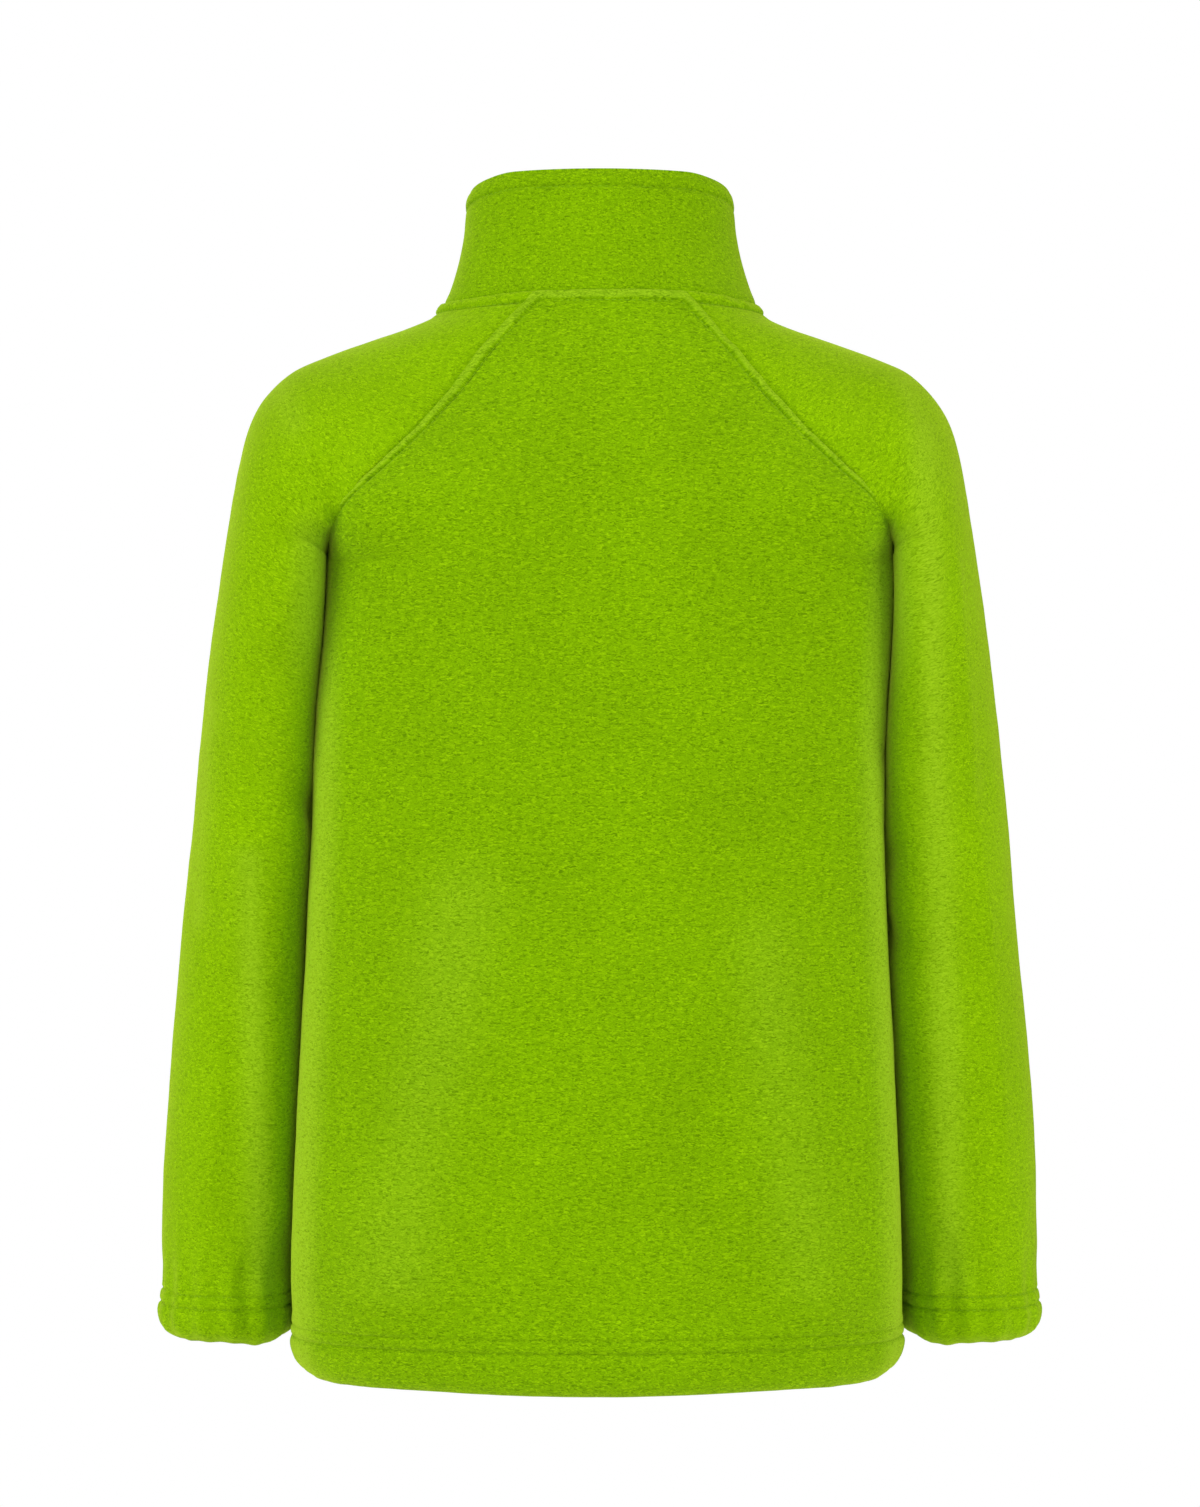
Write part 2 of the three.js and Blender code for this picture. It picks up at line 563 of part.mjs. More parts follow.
// Rows of a panel, from the neck down: the raised neck band, the yoke, the body and the hem. The inside of
// the wall is plain, so it leaves out the rows that only raise the outside.
function panelRows() {
  const neck = BAND_ACROSS.map((b, i) => ({
    g: b.in / YOKE_LENGTH,
    raise: b.raise * BAND_RAISE,
    inner: i === 0 || i === BAND_ACROSS.length - 1,
  }));
  const upper = YOKE_ROWS.map((g) => ({ g, raise: 0, inner: true }));
  const lower = BODY_ROWS.map((z) => ({ g: bodyLevel(z), raise: 0, inner: true }));
  const hem = HEM_ROWS.map((r, i) => ({
    g: bodyLevel(r.z),
    raise: r.raise,
    inner: i % 4 === 1 || i === HEM_ROWS.length - 1,
  }));
  return [...neck, ...upper, ...lower, ...hem];
}

// The length of half a row, from the middle to the seam, and the share of it at a distance from x = 0.
function halfLength(face, g) {
  const [a, b, c] = [0, 0.5, 1].map((across) => bodyBase(face, bodyRow(g), across));
  return a.distanceTo(b) + b.distanceTo(c);
}
function shareAtX(face, g, x) {
  const row = bodyRow(g);
  if (row.z !== undefined) return Math.asin(x / body.half(row.z)) / (90 * DEG);
  const end = yoke[face].side(row.at) * DEG;
  return Math.asin((x * Math.sin(end)) / yoke[face].x(row.at)) / end;
}

// Columns from the middle of a panel to its seam: plain ones, then the raised band beside the raglan seam.
function panelColumns(face, g, count, middle) {
  const length = halfLength(face, g);
  const bandHeight = bandHigh(g);
  const band = [...BAND_ACROSS].reverse();
  const bandStart = 1 - band[0].in / length;
  const first = middle.at(-1).at;
  const plain = Array.from({ length: count - 1 }, (_, i) => ({
    at: mix(first, bandStart, (i + 1) / count),
    raise: 0,
  }));
  const raised = band.map((b) => ({ at: 1 - b.in / length, raise: b.raise * bandHeight }));
  return [...middle, ...plain, ...raised];
}

// The two walls' rows of a panel whose columns come from a function of the row's place.
function panelWall(face, columnsAt) {
  const rows = panelRows();
  const outside = rows.map(({ g, raise }) => ({
    g,
    points: columnsAt(g).map((c) => bodyPoint(face, g, c.at, Math.max(raise, c.raise))),
  }));
  const inside = rows
    .filter((row) => row.inner)
    .map(({ g }) => ({ g, points: columnsAt(g).map((c) => bodyPoint(face, g, c.at, -CLOTH)) }));
  return clothWall(outside, inside);
}

function backPanel() {
  return panelWall(1, (g) => {
    const left = panelColumns(1, g, PANEL_COLUMNS, [{ at: 0, raise: 0 }]).reverse();
    const right = left.slice(0, -1).reverse();
    return [...left, ...right.map((c) => ({ ...c, at: -c.at }))];
  });
}

// A front panel on one side of the zip. Its edge is turned under, so a band beside the zip is raised.
function frontPanel(side) {
  return panelWall(-1, (g) => {
    const edge = ZIP_EDGE.map((c) => ({ at: shareAtX(-1, g, c.x), raise: c.raise }));
    const half = panelColumns(-1, g, FRONT_COLUMNS, edge);
    return side > 0 ? half : half.reverse().map((c) => ({ ...c, at: -c.at }));
  });
}

// A sleeve: open above the armpit, where it meets the body along the raglan seams, and a tube below.
function sleeveWall(side) {
  const columns = (count) =>
    Array.from({ length: 2 * count + 1 }, (_, i) => (side * (i - count)) / count);
  const neck = BAND_ACROSS.map((b, i) => ({
    g: b.in / YOKE_LENGTH,
    raise: b.raise * BAND_RAISE,
    inner: i === 0 || i === BAND_ACROSS.length - 1,
  }));
  const plain = [...YOKE_ROWS, ...SLEEVE_ROWS.map(sleeveLevel)].map((g) => ({
    g,
    raise: 0,
    inner: true,
  }));
  const cuff = CUFF_ROWS.map((r, i) => ({
    g: sleeveLevel(r.z),
    raise: r.raise,
    gather: r.gather,
    inner: i % 4 === 1 || i === CUFF_ROWS.length - 1,
  }));
  const rows = [...neck, ...plain, ...cuff];
  const ring = (g, count, high) => {
    const points = columns(count).map((a) => sleevePoint(side, g, a, high(a)));
    if (g >= 1) points[points.length - 1] = points[0]; // a tube from the underarm point down
    return { g, points };
  };
  const outside = rows.map(({ g, raise, gather = 0 }) => {
    const count = SLEEVE_COLUMNS * (gather > 0 ? CUFF.fine : 1);
    return ring(g, count, (around) => raise + gather * gathers(around));
  });
  const inside = rows.filter((row) => row.inner).map(({ g }) => ring(g, SLEEVE_COLUMNS, () => -CLOTH));
  return clothWall(outside, inside, 1);
}

// The collar, from its top fold down to the neck seam, open at the front for the zip.
function collarWall() {
  const angles = (at) => {
    const end = 180 - Math.asin(ZIP.halfGap / (NECK.halfWidth * taper.k(at))) / DEG;
    return Array.from({ length: COLLAR_COLUMNS + 1 }, (_, i) => end * (1 - (2 * i) / COLLAR_COLUMNS));
  };
  const row = (at, raise, lift = 0) => ({
    g: 1 - at,
    points: angles(at).map((a) => collarPoint(a, at, raise).add(vec(0, 0, lift))),
  });
  const crest = row(1, -COLLAR.cloth / 2, COLLAR.crest);
  const outside = [crest, ...[...COLLAR_ROWS].reverse().map((r) => row(r.at, r.raise))];
  const inside = COLLAR_INSIDE.map((r) => row(r.at, -COLLAR.cloth + r.raise));
  return clothWall(outside, inside);
}

// A point of the zip's line, x to the left of the middle and depth in from the face of the cloth. A place
// is either g on the front panels or at on the collar.
function zipPoint(place, x, depth) {
  const side = Math.sign(x) || 1;
  if (place.at !== undefined) {
    const off = Math.asin(Math.abs(x) / (NECK.halfWidth * taper.k(place.at))) / DEG;
    return collarPoint(side * (180 - off), place.at, -depth);
  }
  return bodyPoint(-1, place.g, side * shareAtX(-1, place.g, Math.abs(x)), -depth);
}

// A strip that follows the zip's line between two distances from the middle and two depths.
function zipStrip(places, from, to, depth, thick) {
  const across = (place) => (typeof to === "function" ? to(place) : to);
  const strip = (place, far) => {
    const [x0, x1] = [from, across(place)];
    return [zipPoint(place, Math.min(x0, x1), far), zipPoint(place, Math.max(x0, x1), far)];
  };
  const rows = (far) => places.map((place, g) => ({ g, points: strip(place, far) }));
  return clothWall(rows(depth), rows(depth + thick));
}

// Places down the zip, from the top of the collar to just above the box at the hem.
function zipPlaces(top) {
  const onCollar = ZIP_ON_COLLAR.filter((at) => at < top - 0.02).map((at) => ({ at }));
  const end = bodyLevel(ZIP.foot);
  const onFront = panelRows().filter((row) => row.inner && row.g > 0 && row.g < end);
  return [{ at: top }, ...onCollar, { g: 0.01 }, ...onFront.map(({ g }) => ({ g })), { g: end }];
}
function zipTape(side) {
  const narrow = (place) => place.at !== undefined || place.g < 0.02;
  const outer = (place) => side * (narrow(place) ? ZIP.tapeCollar : ZIP.tapeOuter);
  return zipStrip(zipPlaces(ZIP.tapeTop), side * ZIP.tapeInner, outer, ZIP.depth, ZIP.tape);
}
function zipChain() {
  const front = ZIP.depth + ZIP.tape / 2 - CHAIN.thick / 2;
  return zipStrip(zipPlaces(CHAIN.top), -CHAIN.halfWidth, CHAIN.halfWidth, front, CHAIN.thick);
}

// The place and tilt of a hard piece on the zip: x to the wearer's left, y up the zip and z out of the
// cloth, with its origin in the middle of the chain.
function zipFrame(place, above, below) {
  const depth = ZIP.depth + ZIP.tape / 2;
  const origin = zipPoint(place, 0, depth);
  const up = zipPoint(above, 0, depth).sub(zipPoint(below, 0, depth)).normalize();
  const right = vec(1, 0, 0);
  const basis = new THREE.Matrix4().makeBasis(right, up, right.clone().cross(up));
  return basis.setPosition(origin);
}

// Joins closed geometries into one with manifold-3d.
function united(geometries) {
  const solids = geometries.map((g) => {
    g.deleteAttribute("normal");
    g.deleteAttribute("uv");
    const merged = mergeVertices(g, 1e-4);
    return new wasm.Manifold(
      new wasm.Mesh({
        numProp: 3,
        vertProperties: merged.attributes.position.array,
        triVerts: new Uint32Array(merged.index.array),
      }),
    );
  });
  const mesh = solids.reduce((a, b) => a.add(b)).getMesh();
  const g = new THREE.BufferGeometry();
  g.setAttribute("position", new THREE.BufferAttribute(mesh.vertProperties, 3));
  g.setIndex(new THREE.BufferAttribute(mesh.triVerts, 1));
  g.computeVertexNormals();
  return g;
}
const block = (width, high, deep, x, y, z) => new THREE.BoxGeometry(width, high, deep).translate(x, y, z);

// The slider: two plates joined by a wedge at the top, and a bridge for the pull on the front plate.
function sliderShape() {
  const { width, high, plate, gap, wedgeWidth, wedgeHigh } = SLIDER;
  const middle = gap / 2 + plate / 2;
  const front = gap / 2 + plate;
  const foot = BRIDGE.gap + BRIDGE.thick;
  const footY = BRIDGE.long / 2 - BRIDGE.thick / 2;
  return united([
    block(width, high, plate, 0, 0, middle),
    block(width, high, plate, 0, 0, -middle),
    block(wedgeWidth, wedgeHigh, gap + plate, 0, high / 2 - wedgeHigh / 2, 0),
    block(BRIDGE.width, BRIDGE.long, BRIDGE.thick, 0, 0, front + BRIDGE.gap + BRIDGE.thick / 2),
    block(BRIDGE.width, BRIDGE.thick, foot + plate / 2, 0, footY, front + foot / 2 - plate / 4),
    block(BRIDGE.width, BRIDGE.thick, foot + plate / 2, 0, -footY, front + foot / 2 - plate / 4),
  ]);
}

// The pull tab hangs from a bar in the bridge, whose middle is its origin.
function pullShape() {
  const outline = new THREE.Shape();
  const { barHalf, halfWidth, window, windowHalf, long, thick } = PULL;
  const corner = 1.6;
  const neck = window - 1; // where the two arms begin to widen into the tab
  outline.moveTo(-barHalf, thick / 2);
  outline.lineTo(-barHalf, -neck);
  outline.lineTo(-halfWidth, -neck - 3);
  outline.lineTo(-halfWidth, -long + corner);
  outline.quadraticCurveTo(-halfWidth, -long, -halfWidth + corner, -long);
  outline.lineTo(halfWidth - corner, -long);
  outline.quadraticCurveTo(halfWidth, -long, halfWidth, -long + corner);
  outline.lineTo(halfWidth, -neck - 3);
  outline.lineTo(barHalf, -neck);
  outline.lineTo(barHalf, thick / 2);
  outline.closePath();
  const hole = new THREE.Path();
  hole.moveTo(-windowHalf, -thick / 2);
  hole.lineTo(windowHalf, -thick / 2);
  hole.lineTo(windowHalf, -window);
  hole.lineTo(-windowHalf, -window);
  hole.closePath();
  outline.holes.push(hole);
  const settings = { depth: thick, bevelEnabled: false, curveSegments: 4 };
  return united([new THREE.ExtrudeGeometry(outline, settings).translate(0, 0, -thick / 2)]);
}

function piece(name, geometry, look) {
  const mesh = new THREE.Mesh(geometry, new THREE.MeshStandardMaterial(look));
  mesh.name = name;
  return mesh;
}
function placed(mesh, matrix) {
  matrix.decompose(mesh.position, mesh.quaternion, mesh.scale);
  return mesh;
}

const jacket = new THREE.Group();
jacket.add(
  piece("back", backPanel(), LIME),
  piece("front_left", frontPanel(1), LIME),
  piece("front_right", frontPanel(-1), LIME),
  piece("sleeve_left", sleeveWall(1), LIME),
  piece("sleeve_right", sleeveWall(-1), LIME),
  piece("collar", collarWall(), LIME),
);

const zip = new THREE.Group();
const sliderFrame = zipFrame({ at: SLIDER.at }, { at: SLIDER.at + 0.08 }, { at: SLIDER.at - 0.08 });
const boxFrame = zipFrame(
  { g: bodyLevel(BOX.z) },
  { g: bodyLevel(BOX.z + 3) },
  { g: bodyLevel(BOX.z - 3) },
);
const pivotOut = SLIDER.gap / 2 + SLIDER.plate + BRIDGE.gap / 2;
const pivot = new THREE.Matrix4().makeTranslation(0, PULL.pivotY, pivotOut);
zip.add(
  piece("zip_tape_left", zipTape(1), LIME_ZIP),
  piece("zip_tape_right", zipTape(-1), LIME_ZIP),
  piece("zip_chain", zipChain(), LIME_ZIP),
  placed(piece("zip_box", block(2 * BOX.halfWidth, BOX.high, BOX.thick, 0, 0, 0), LIME_ZIP), boxFrame),
  placed(piece("zip_slider", sliderShape(), LIME_ZIP), sliderFrame),
  placed(piece("zip_pull", pullShape(), LIME_ZIP), sliderFrame.clone().multiply(pivot)),
);
jacket.add(zip);

export default jacket;
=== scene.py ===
"""A child's lime green fleece jacket, filled out and hollow, dressed for a studio picture from behind.

Each cloth piece is a thin closed shell on the form of its solid, with the folds, the raised seam bands, the
sunk topstitching, the hem and the gathered cuffs worked into its outer side. Lengths in the tables are
millimetres, and every mesh is made in metres. +Z is up, the zip faces -Y, and the wearer's left is +X.
"""

import logging
import math
from dataclasses import dataclass, field
from enum import Enum
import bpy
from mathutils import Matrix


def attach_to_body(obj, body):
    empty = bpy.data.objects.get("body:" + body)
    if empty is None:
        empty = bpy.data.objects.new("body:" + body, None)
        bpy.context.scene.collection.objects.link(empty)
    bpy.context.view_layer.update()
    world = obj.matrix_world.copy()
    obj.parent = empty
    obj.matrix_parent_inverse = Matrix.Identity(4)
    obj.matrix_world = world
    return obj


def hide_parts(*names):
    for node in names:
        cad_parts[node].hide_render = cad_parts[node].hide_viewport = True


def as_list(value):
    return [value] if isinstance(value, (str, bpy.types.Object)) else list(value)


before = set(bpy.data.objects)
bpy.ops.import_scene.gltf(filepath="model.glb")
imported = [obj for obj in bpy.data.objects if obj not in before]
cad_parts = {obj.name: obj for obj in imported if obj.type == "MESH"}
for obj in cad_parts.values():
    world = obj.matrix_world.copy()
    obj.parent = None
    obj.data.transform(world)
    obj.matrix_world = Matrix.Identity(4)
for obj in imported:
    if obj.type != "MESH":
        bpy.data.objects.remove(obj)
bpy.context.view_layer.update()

from types import SimpleNamespace
from typing import Any, Callable, Iterable, Sequence

import bmesh
import bpy
import numpy as np
from mathutils import Matrix, Vector

Array = np.ndarray
log = logging.getLogger("jacket")

MM = 0.001
UNDERARM_Z = -122.0
ARMPIT_Z = -89.0
ROW_MM = 100.0  # one unit of a row's place below the yoke
YOKE_MM = 166.0  # along a raglan seam
CLOTH_MM = 2.0  # one layer of fleece
TURN_MM = 0.85  # round a sleeve for one degree
ROLL_MM = 1.6  # how far from its edge a panel turns in to a seam


class Face(Enum):
    """Which side of the body a panel is on, as its sign along Y."""

    BACK = 1
    FRONT = -1


class Side(Enum):
    """The wearer's side, as its sign along X."""

    LEFT = 1
    RIGHT = -1


class Body(Enum):
    """The rigid bodies of the jacket."""

    JACKET = "jacket"
    PULL = "pull_tab"


# ---- smooth lines and noise


class Curve:
    """A smooth line through points, with no overshoot between them."""

    def __init__(self, keys: Sequence[float], values: Sequence[float]) -> None:
        """Fits the line.

        Args:
            keys: where each value stands.
            values: the values that the line passes through.
        """
        order = np.argsort(keys)
        self.keys = np.asarray(keys, float)[order]
        self.values = np.asarray(values, float)[order]
        gap = np.diff(self.keys)
        slope = np.diff(self.values) / gap
        before, after = slope[:-1], slope[1:]
        w1 = 2 * gap[1:] + gap[:-1]
        w2 = gap[1:] + 2 * gap[:-1]
        same = before * after > 0
        inner = np.zeros(len(before))
        inner[same] = (w1 + w2)[same] / (w1[same] / before[same] + w2[same] / after[same])
        self.tangent = np.concatenate([slope[:1], inner, slope[-1:]])

    def __call__(self, at: Array | float) -> Array:
        """The line's value at one key or at many."""
        x = np.clip(at, self.keys[0], self.keys[-1])
        i = np.clip(np.searchsorted(self.keys, x) - 1, 0, len(self.keys) - 2)
        h = self.keys[i + 1] - self.keys[i]
        t = (x - self.keys[i]) / h
        t2, t3 = t * t, t * t * t
        low = (2 * t3 - 3 * t2 + 1) * self.values[i] + (t3 - 2 * t2 + t) * h * self.tangent[i]
        high = (3 * t2 - 2 * t3) * self.values[i + 1] + (t3 - t2) * h * self.tangent[i + 1]
        return low + high


def curves(names: str, *rows: Sequence[float]) -> SimpleNamespace:
    """Turns a table into one smooth line for each of its columns.

    Args:
        names: the names of the columns after the first, which is the key.
        rows: the table's rows.

    Returns:
        The lines, by name.
    """
    columns = np.array(rows, float).T
    return SimpleNamespace(**{n: Curve(columns[0], c) for n, c in zip(names.split(), columns[1:])})


def smooth(start: Array | float, end: Array | float, value: Array | float) -> Array:
    """Rises softly from 0 at start to 1 at end."""
    t = np.clip((value - start) / (end - start), 0, 1)
    return t * t * (3 - 2 * t)


def mix(a: Array | float, b: Array | float, t: Array | float) -> Array:
    """Goes from a at 0 to b at 1."""
    return a + (b - a) * t


def points(x: Array | float, y: Array | float, z: Array | float) -> Array:
    """Puts three coordinates together as points."""
    return np.stack(np.broadcast_arrays(x, y, z), axis=-1).astype(float)


def unit(v: Array) -> Array:
    """Vectors at length one."""
    return v / np.maximum(np.linalg.norm(v, axis=-1, keepdims=True), 1e-12)


class Unevenness:
    """Soft noise over laid-out cloth, the same on every run."""

    LATTICE = 64

    def __init__(self, seed: int) -> None:
        """Draws the noise's lattice from a fixed seed."""
        self.values = np.random.default_rng(seed).uniform(-1, 1, (self.LATTICE, self.LATTICE))

    def at(self, u: Array, v: Array, size: float, tall: float = 1.0) -> Array:
        """The noise at places on the cloth.

        Args:
            u: millimetres across the cloth.
            v: millimetres down the cloth.
            size: the width of one lump in millimetres.
            tall: how many times as tall as wide a lump is.

        Returns:
            Values from -1 to 1.
        """
        a, b = np.broadcast_arrays(np.asarray(u, float) / size, np.asarray(v, float) / (size * tall))
        i, j = np.floor(a).astype(int), np.floor(b).astype(int)
        s, t = smooth(0, 1, a - i), smooth(0, 1, b - j)
        n = self.LATTICE
        low = mix(self.values[i % n, j % n], self.values[(i + 1) % n, j % n], s)
        high = mix(self.values[i % n, (j + 1) % n], self.values[(i + 1) % n, (j + 1) % n], s)
        return mix(low, high, t)


# ---- the jacket's sizes

RIDGE = curves(
    "x z",
    (0, 78, 5),
    (0.065, 84.2, -1),
    (0.149, 95.6, -6),
    (0.247, 110.6, -11),
    (0.347, 125.4, -16),
    (0.441, 139.2, -21),
    (0.517, 150.5, -26),
    (0.575, 157.8, -31),
    (0.666, 167.5, -41),
    (0.744, 173.4, -51),
    (0.814, 177, -61),
    (0.9, 180.2, -75),
    (1, 182.6, -89),
)
YOKE = {
    Face.BACK: curves(
        "x z turn depth side mid_y mid_z",
        (0, 36.5, 7.5, 62.1, 60, 27.9, 60, 8),
        (0.2, 59.4, -17.3, 68, 61.5, 36, 70, -17),
        (0.4, 80, -43.5, 77, 63, 45, 80, -43.5),
        (0.6, 102.3, -68.3, 89, 65, 56, 88, -68.3),
        (0.8, 124.6, -93.2, 113, 66, 69, 94, -93.2),
        (0.9, 135, -106.2, 140, 66, 78.5, 96.5, -106.2),
        (1, 140.6, -122, 180, 65, 90, 98.5, -122),
    ),
    Face.FRONT: curves(
        "x z turn depth side mid_y mid_z",
        (0, 50, -15, 50, 60, 40, 60, -29.8),
        (0.2, 68.5, -34, 60, 62, 45, 67.5, -44),
        (0.4, 86, -55, 73, 64, 52, 76, -60),
        (0.6, 105, -76, 88, 65, 60, 84.5, -78),
        (0.8, 125.5, -98, 115, 65.5, 70, 92, -98),
        (0.9, 135, -108.5, 142, 65.5, 79, 95, -109),
        (1, 140.6, -122, 180, 65, 90, 97, -122),
    ),
}
TRUNK = curves(
    "side_z half back front",
    (-122, -122, 140.6, 98.5, 97),
    (-191, -191, 141, 100.5, 98),
    (-241, -241, 141.4, 101, 98.5),
    (-291, -291, 143.2, 102, 99),
    (-341, -341, 145.3, 103.5, 100),
    (-391, -392, 148, 105, 101.5),
    (-441, -443, 150.3, 106.5, 103),
    (-480, -484, 151.4, 107.5, 104),
    (-497, -501, 151.6, 108, 104.5),
    (-508, -510, 151.6, 108, 104.5),
    (-516, -515.5, 150.2, 107, 103.4),
    (-521.5, -519, 147.6, 105, 101.4),
    (-524.5, -521, 144.6, 102, 98.4),
)
ARM = curves(
    "x inner_z depth mid_y clear draw",
    (-89, 182.6, -122, 65, 0, 0, 0),
    (-105, 185.2, -134, 64.8, 0, 0.1, 0),
    (-125, 188.3, -150, 64, -1, -0.1, 0),
    (-155, 192.7, -174, 62.5, -3, -0.2, 0),
    (-195, 197.9, -207, 60, -5.5, -0.2, 0),
    (-240, 202.9, -246, 57, -8.5, 0, 0),
    (-290, 207.8, -293, 54, -12, 0.6, 0),
    (-340, 212.7, -341, 51, -15, 1.3, 0),
    (-390, 217.5, -390, 48, -18, 1.6, 0),
    (-430, 219.9, -430, 45.5, -20.5, 2.4, 0),
    (-462, 220.6, -462, 43.5, -22.5, 4, 0),
    (-484, 219.6, -484, 42, -23.5, 5, 0),
    (-499, 221.4, -499, 42, -24, 5.2, 0),
    (-505, 221.4, -505, 42, -24, 5.2, 1),
    (-508.5, 221.4, -508.5, 42, -24, 5.2, 4),
    (-511, 221.4, -511, 42, -24, 5.2, 8),
)
LEAN = curves("x", (-290, 1.5), (-215, 0), (-125, -5.5), (20, -5), (50, 0))
BAND_HIGH = curves("high", (0, 1.6), (0.6, 1.6), (0.9, 1.6), (0.96, 1.4), (0.995, 0.3), (1, 0))
NECK_HALF_WIDTH, NECK_HALF_DEPTH = 78.0, 60.0
COLLAR_TAPER = curves(
    "k",
    (0, 1), (0.06, 0.991), (0.15, 0.965), (0.33, 0.923),
    (0.51, 0.891), (0.69, 0.87), (0.84, 0.86), (1, 0.846),
)
COLLAR_TOP = curves("z", (0, 67.4), (40, 67.4), (60, 65.2), (90, 59.5), (120, 49.5), (150, 38.5), (180, 33))
COLLAR_LIFT, COLLAR_MM = -0.9, 3.6  # the collar's foot is tucked behind the band
WIDE_ROWS = np.array([0, 7.8, 20, 40, 62, 85, 108, 130, 148])  # down the yoke, on the inside
BODY_SEAM_GAP, SLEEVE_SEAM_GAP = -0.2, -1.2  # at the seams, below 0 where one cloth lies under the other
ZIP_HALF_GAP = 6.5  # from the middle to the edge of the cloth
ZIP_STITCH_X = 13.6  # from the middle to the stitches beside the zip

# Reliefs: the height of the cloth against its distance in from a seam or an edge, or against its height.
SEAM_BAND = curves(
    "high",
    (0, 0.42),
    (0.5, 0.85),
    (1.4, 1.05),
    (3.6, 1.04),
    (5.0, 0.9),
    (6.0, 0.5),
    (6.8, -0.22),
    (7.7, -0.02),
    (9.2, 0.1),
    (12, 0),
    (14, 0),
)
HEM_RELIEF = curves(
    "high",
    (-484, 0),
    (-491, 0.1),
    (-495, 0.6),
    (-496.3, 0.55),
    (-497.3, 0.1),
    (-498.5, 0.8),
    (-500.5, 1.2),
    (-502.6, 0.95),
    (-503.8, 0.1),
    (-505.2, 1.1),
    (-508, 1.65),
    (-515, 1.65),
    (-520, 1.45),
    (-523, 1),
    (-524.5, 0.4),
)
CUFF_RELIEF = curves(
    "high gather",
    (-440, 0, 0),
    (-462, 0, 0.22),
    (-474, 0.05, 0.5),
    (-483, 0.4, 0.8),
    (-486.2, 0.55, 0.8),
    (-487.4, 0.05, 0.7),
    (-488.7, 0.8, 0.7),
    (-490.8, 1.05, 0.65),
    (-492.7, 0.8, 0.7),
    (-494, 0.0, 0.7),
    (-495.4, 0.85, 0.8),
    (-498, 1.3, 0.8),
    (-503, 1.2, 0.7),
    (-507, 0.8, 0.5),
    (-511, 0, 0.25),
)
COLLAR_RELIEF = curves(
    "high",
    (0, -0.2),
    (0.03, 0.1),
    (0.15, 0),
    (0.65, 0),
    (0.8, 0.15),
    (0.85, 0.1),
    (0.872, -0.55),
    (0.896, 0.35),
    (0.93, 0.6),
    (0.97, 0.35),
    (0.99, -0.1),
    (1, -0.7),
)
ZIP_EDGE_RELIEF = curves(
    "high",
    (6.5, 0.1), (7.1, 0.7), (8.2, 0.95), (11.5, 0.95), (12.9, 0.6),
    (13.6, -0.45), (14.4, 0.1), (16, 0), (20, 0),
)


@dataclass(frozen=True)
class Fold:
    """A soft fold: its line on the laid-out cloth, its half width and its height, below 0 for a trough."""

    a: float
    b: float
    to_a: float
    to_b: float
    half: float
    high: float

    def relief(self, a: Array, b: Array, noise: Unevenness) -> Array:
        """The fold's height at places on the cloth.

        Args:
            a: millimetres across.
            b: height in millimetres.
            noise: what makes the fold wander and swell a little.

        Returns:
            The height in millimetres.
        """
        along = np.array([self.to_a - self.a, self.to_b - self.b])
        t = ((a - self.a) * along[0] + (b - self.b) * along[1]) / (along @ along)
        near = np.clip(t, 0, 1)
        da, db = a - self.a - along[0] * near, b - self.b - along[1] * near
        wander = 0.14 * noise.at(a + 7 * self.a, b, 44)
        off = np.hypot(da, db) / self.half + wander
        return self.high * (1 + 0.22 * noise.at(a, b + 5 * self.b, 31)) * np.exp(-off * off * 1.6)


BODY_FOLDS = {
    Face.BACK: (
        Fold(66, -290, 104, -486, 26, 4.4),
        Fold(-78, -310, -104, -486, 19, 4),
        Fold(22, -350, 2, -488, 18, -3.8),
        Fold(-46, -390, -62, -488, 14, -3),
        Fold(60, -150, 104, -215, 20, -1.6),
        Fold(-105, -183, -131, -218, 9, -1.0),
        Fold(-22, -340, -30, -440, 15, 0.9),
        Fold(112, -250, 124, -330, 14, -0.9),
        Fold(-84, -225, -118, -262, 13, 0.8),
    ),
    Face.FRONT: (
        Fold(82, -290, 96, -480, 24, 3),
        Fold(-70, -320, -92, -484, 22, 3.2),
        Fold(48, -400, 44, -488, 15, -2.2),
        Fold(-96, -150, -60, -205, 20, -1.8),
        Fold(100, -160, 72, -200, 15, -1.2),
        Fold(-46, -330, -38, -470, 13, -1.2),
        Fold(58, -240, 70, -300, 14, 0.8),
    ),
}
ARM_FOLDS = {
    Side.LEFT: (
        Fold(118 * TURN_MM, -95, 96 * TURN_MM, -150, 13, 3),
        Fold(60 * TURN_MM, -215, 150 * TURN_MM, -240, 13, -2),
        Fold(40 * TURN_MM, -300, 120 * TURN_MM, -330, 14, -1.6),
        Fold(-110 * TURN_MM, -150, -90 * TURN_MM, -250, 14, 2),
        Fold(104 * TURN_MM, -92, 84 * TURN_MM, -128, 6, -1.2),
        Fold(84 * TURN_MM, -262, 72 * TURN_MM, -450, 11, 1.1),
        Fold(-60 * TURN_MM, -300, -128 * TURN_MM, -322, 12, -1.2),
    ),
    Side.RIGHT: (
        Fold(112 * TURN_MM, -85, 104 * TURN_MM, -190, 12, 3.4),
        Fold(50 * TURN_MM, -235, 140 * TURN_MM, -265, 14, -1.9),
        Fold(70 * TURN_MM, -330, 160 * TURN_MM, -300, 13, -1.6),
        Fold(-100 * TURN_MM, -170, -80 * TURN_MM, -260, 14, 2),
        Fold(70 * TURN_MM, -120, 62 * TURN_MM, -440, 10, 1.2),
        Fold(-54 * TURN_MM, -330, -120 * TURN_MM, -350, 12, -1.2),
    ),
}


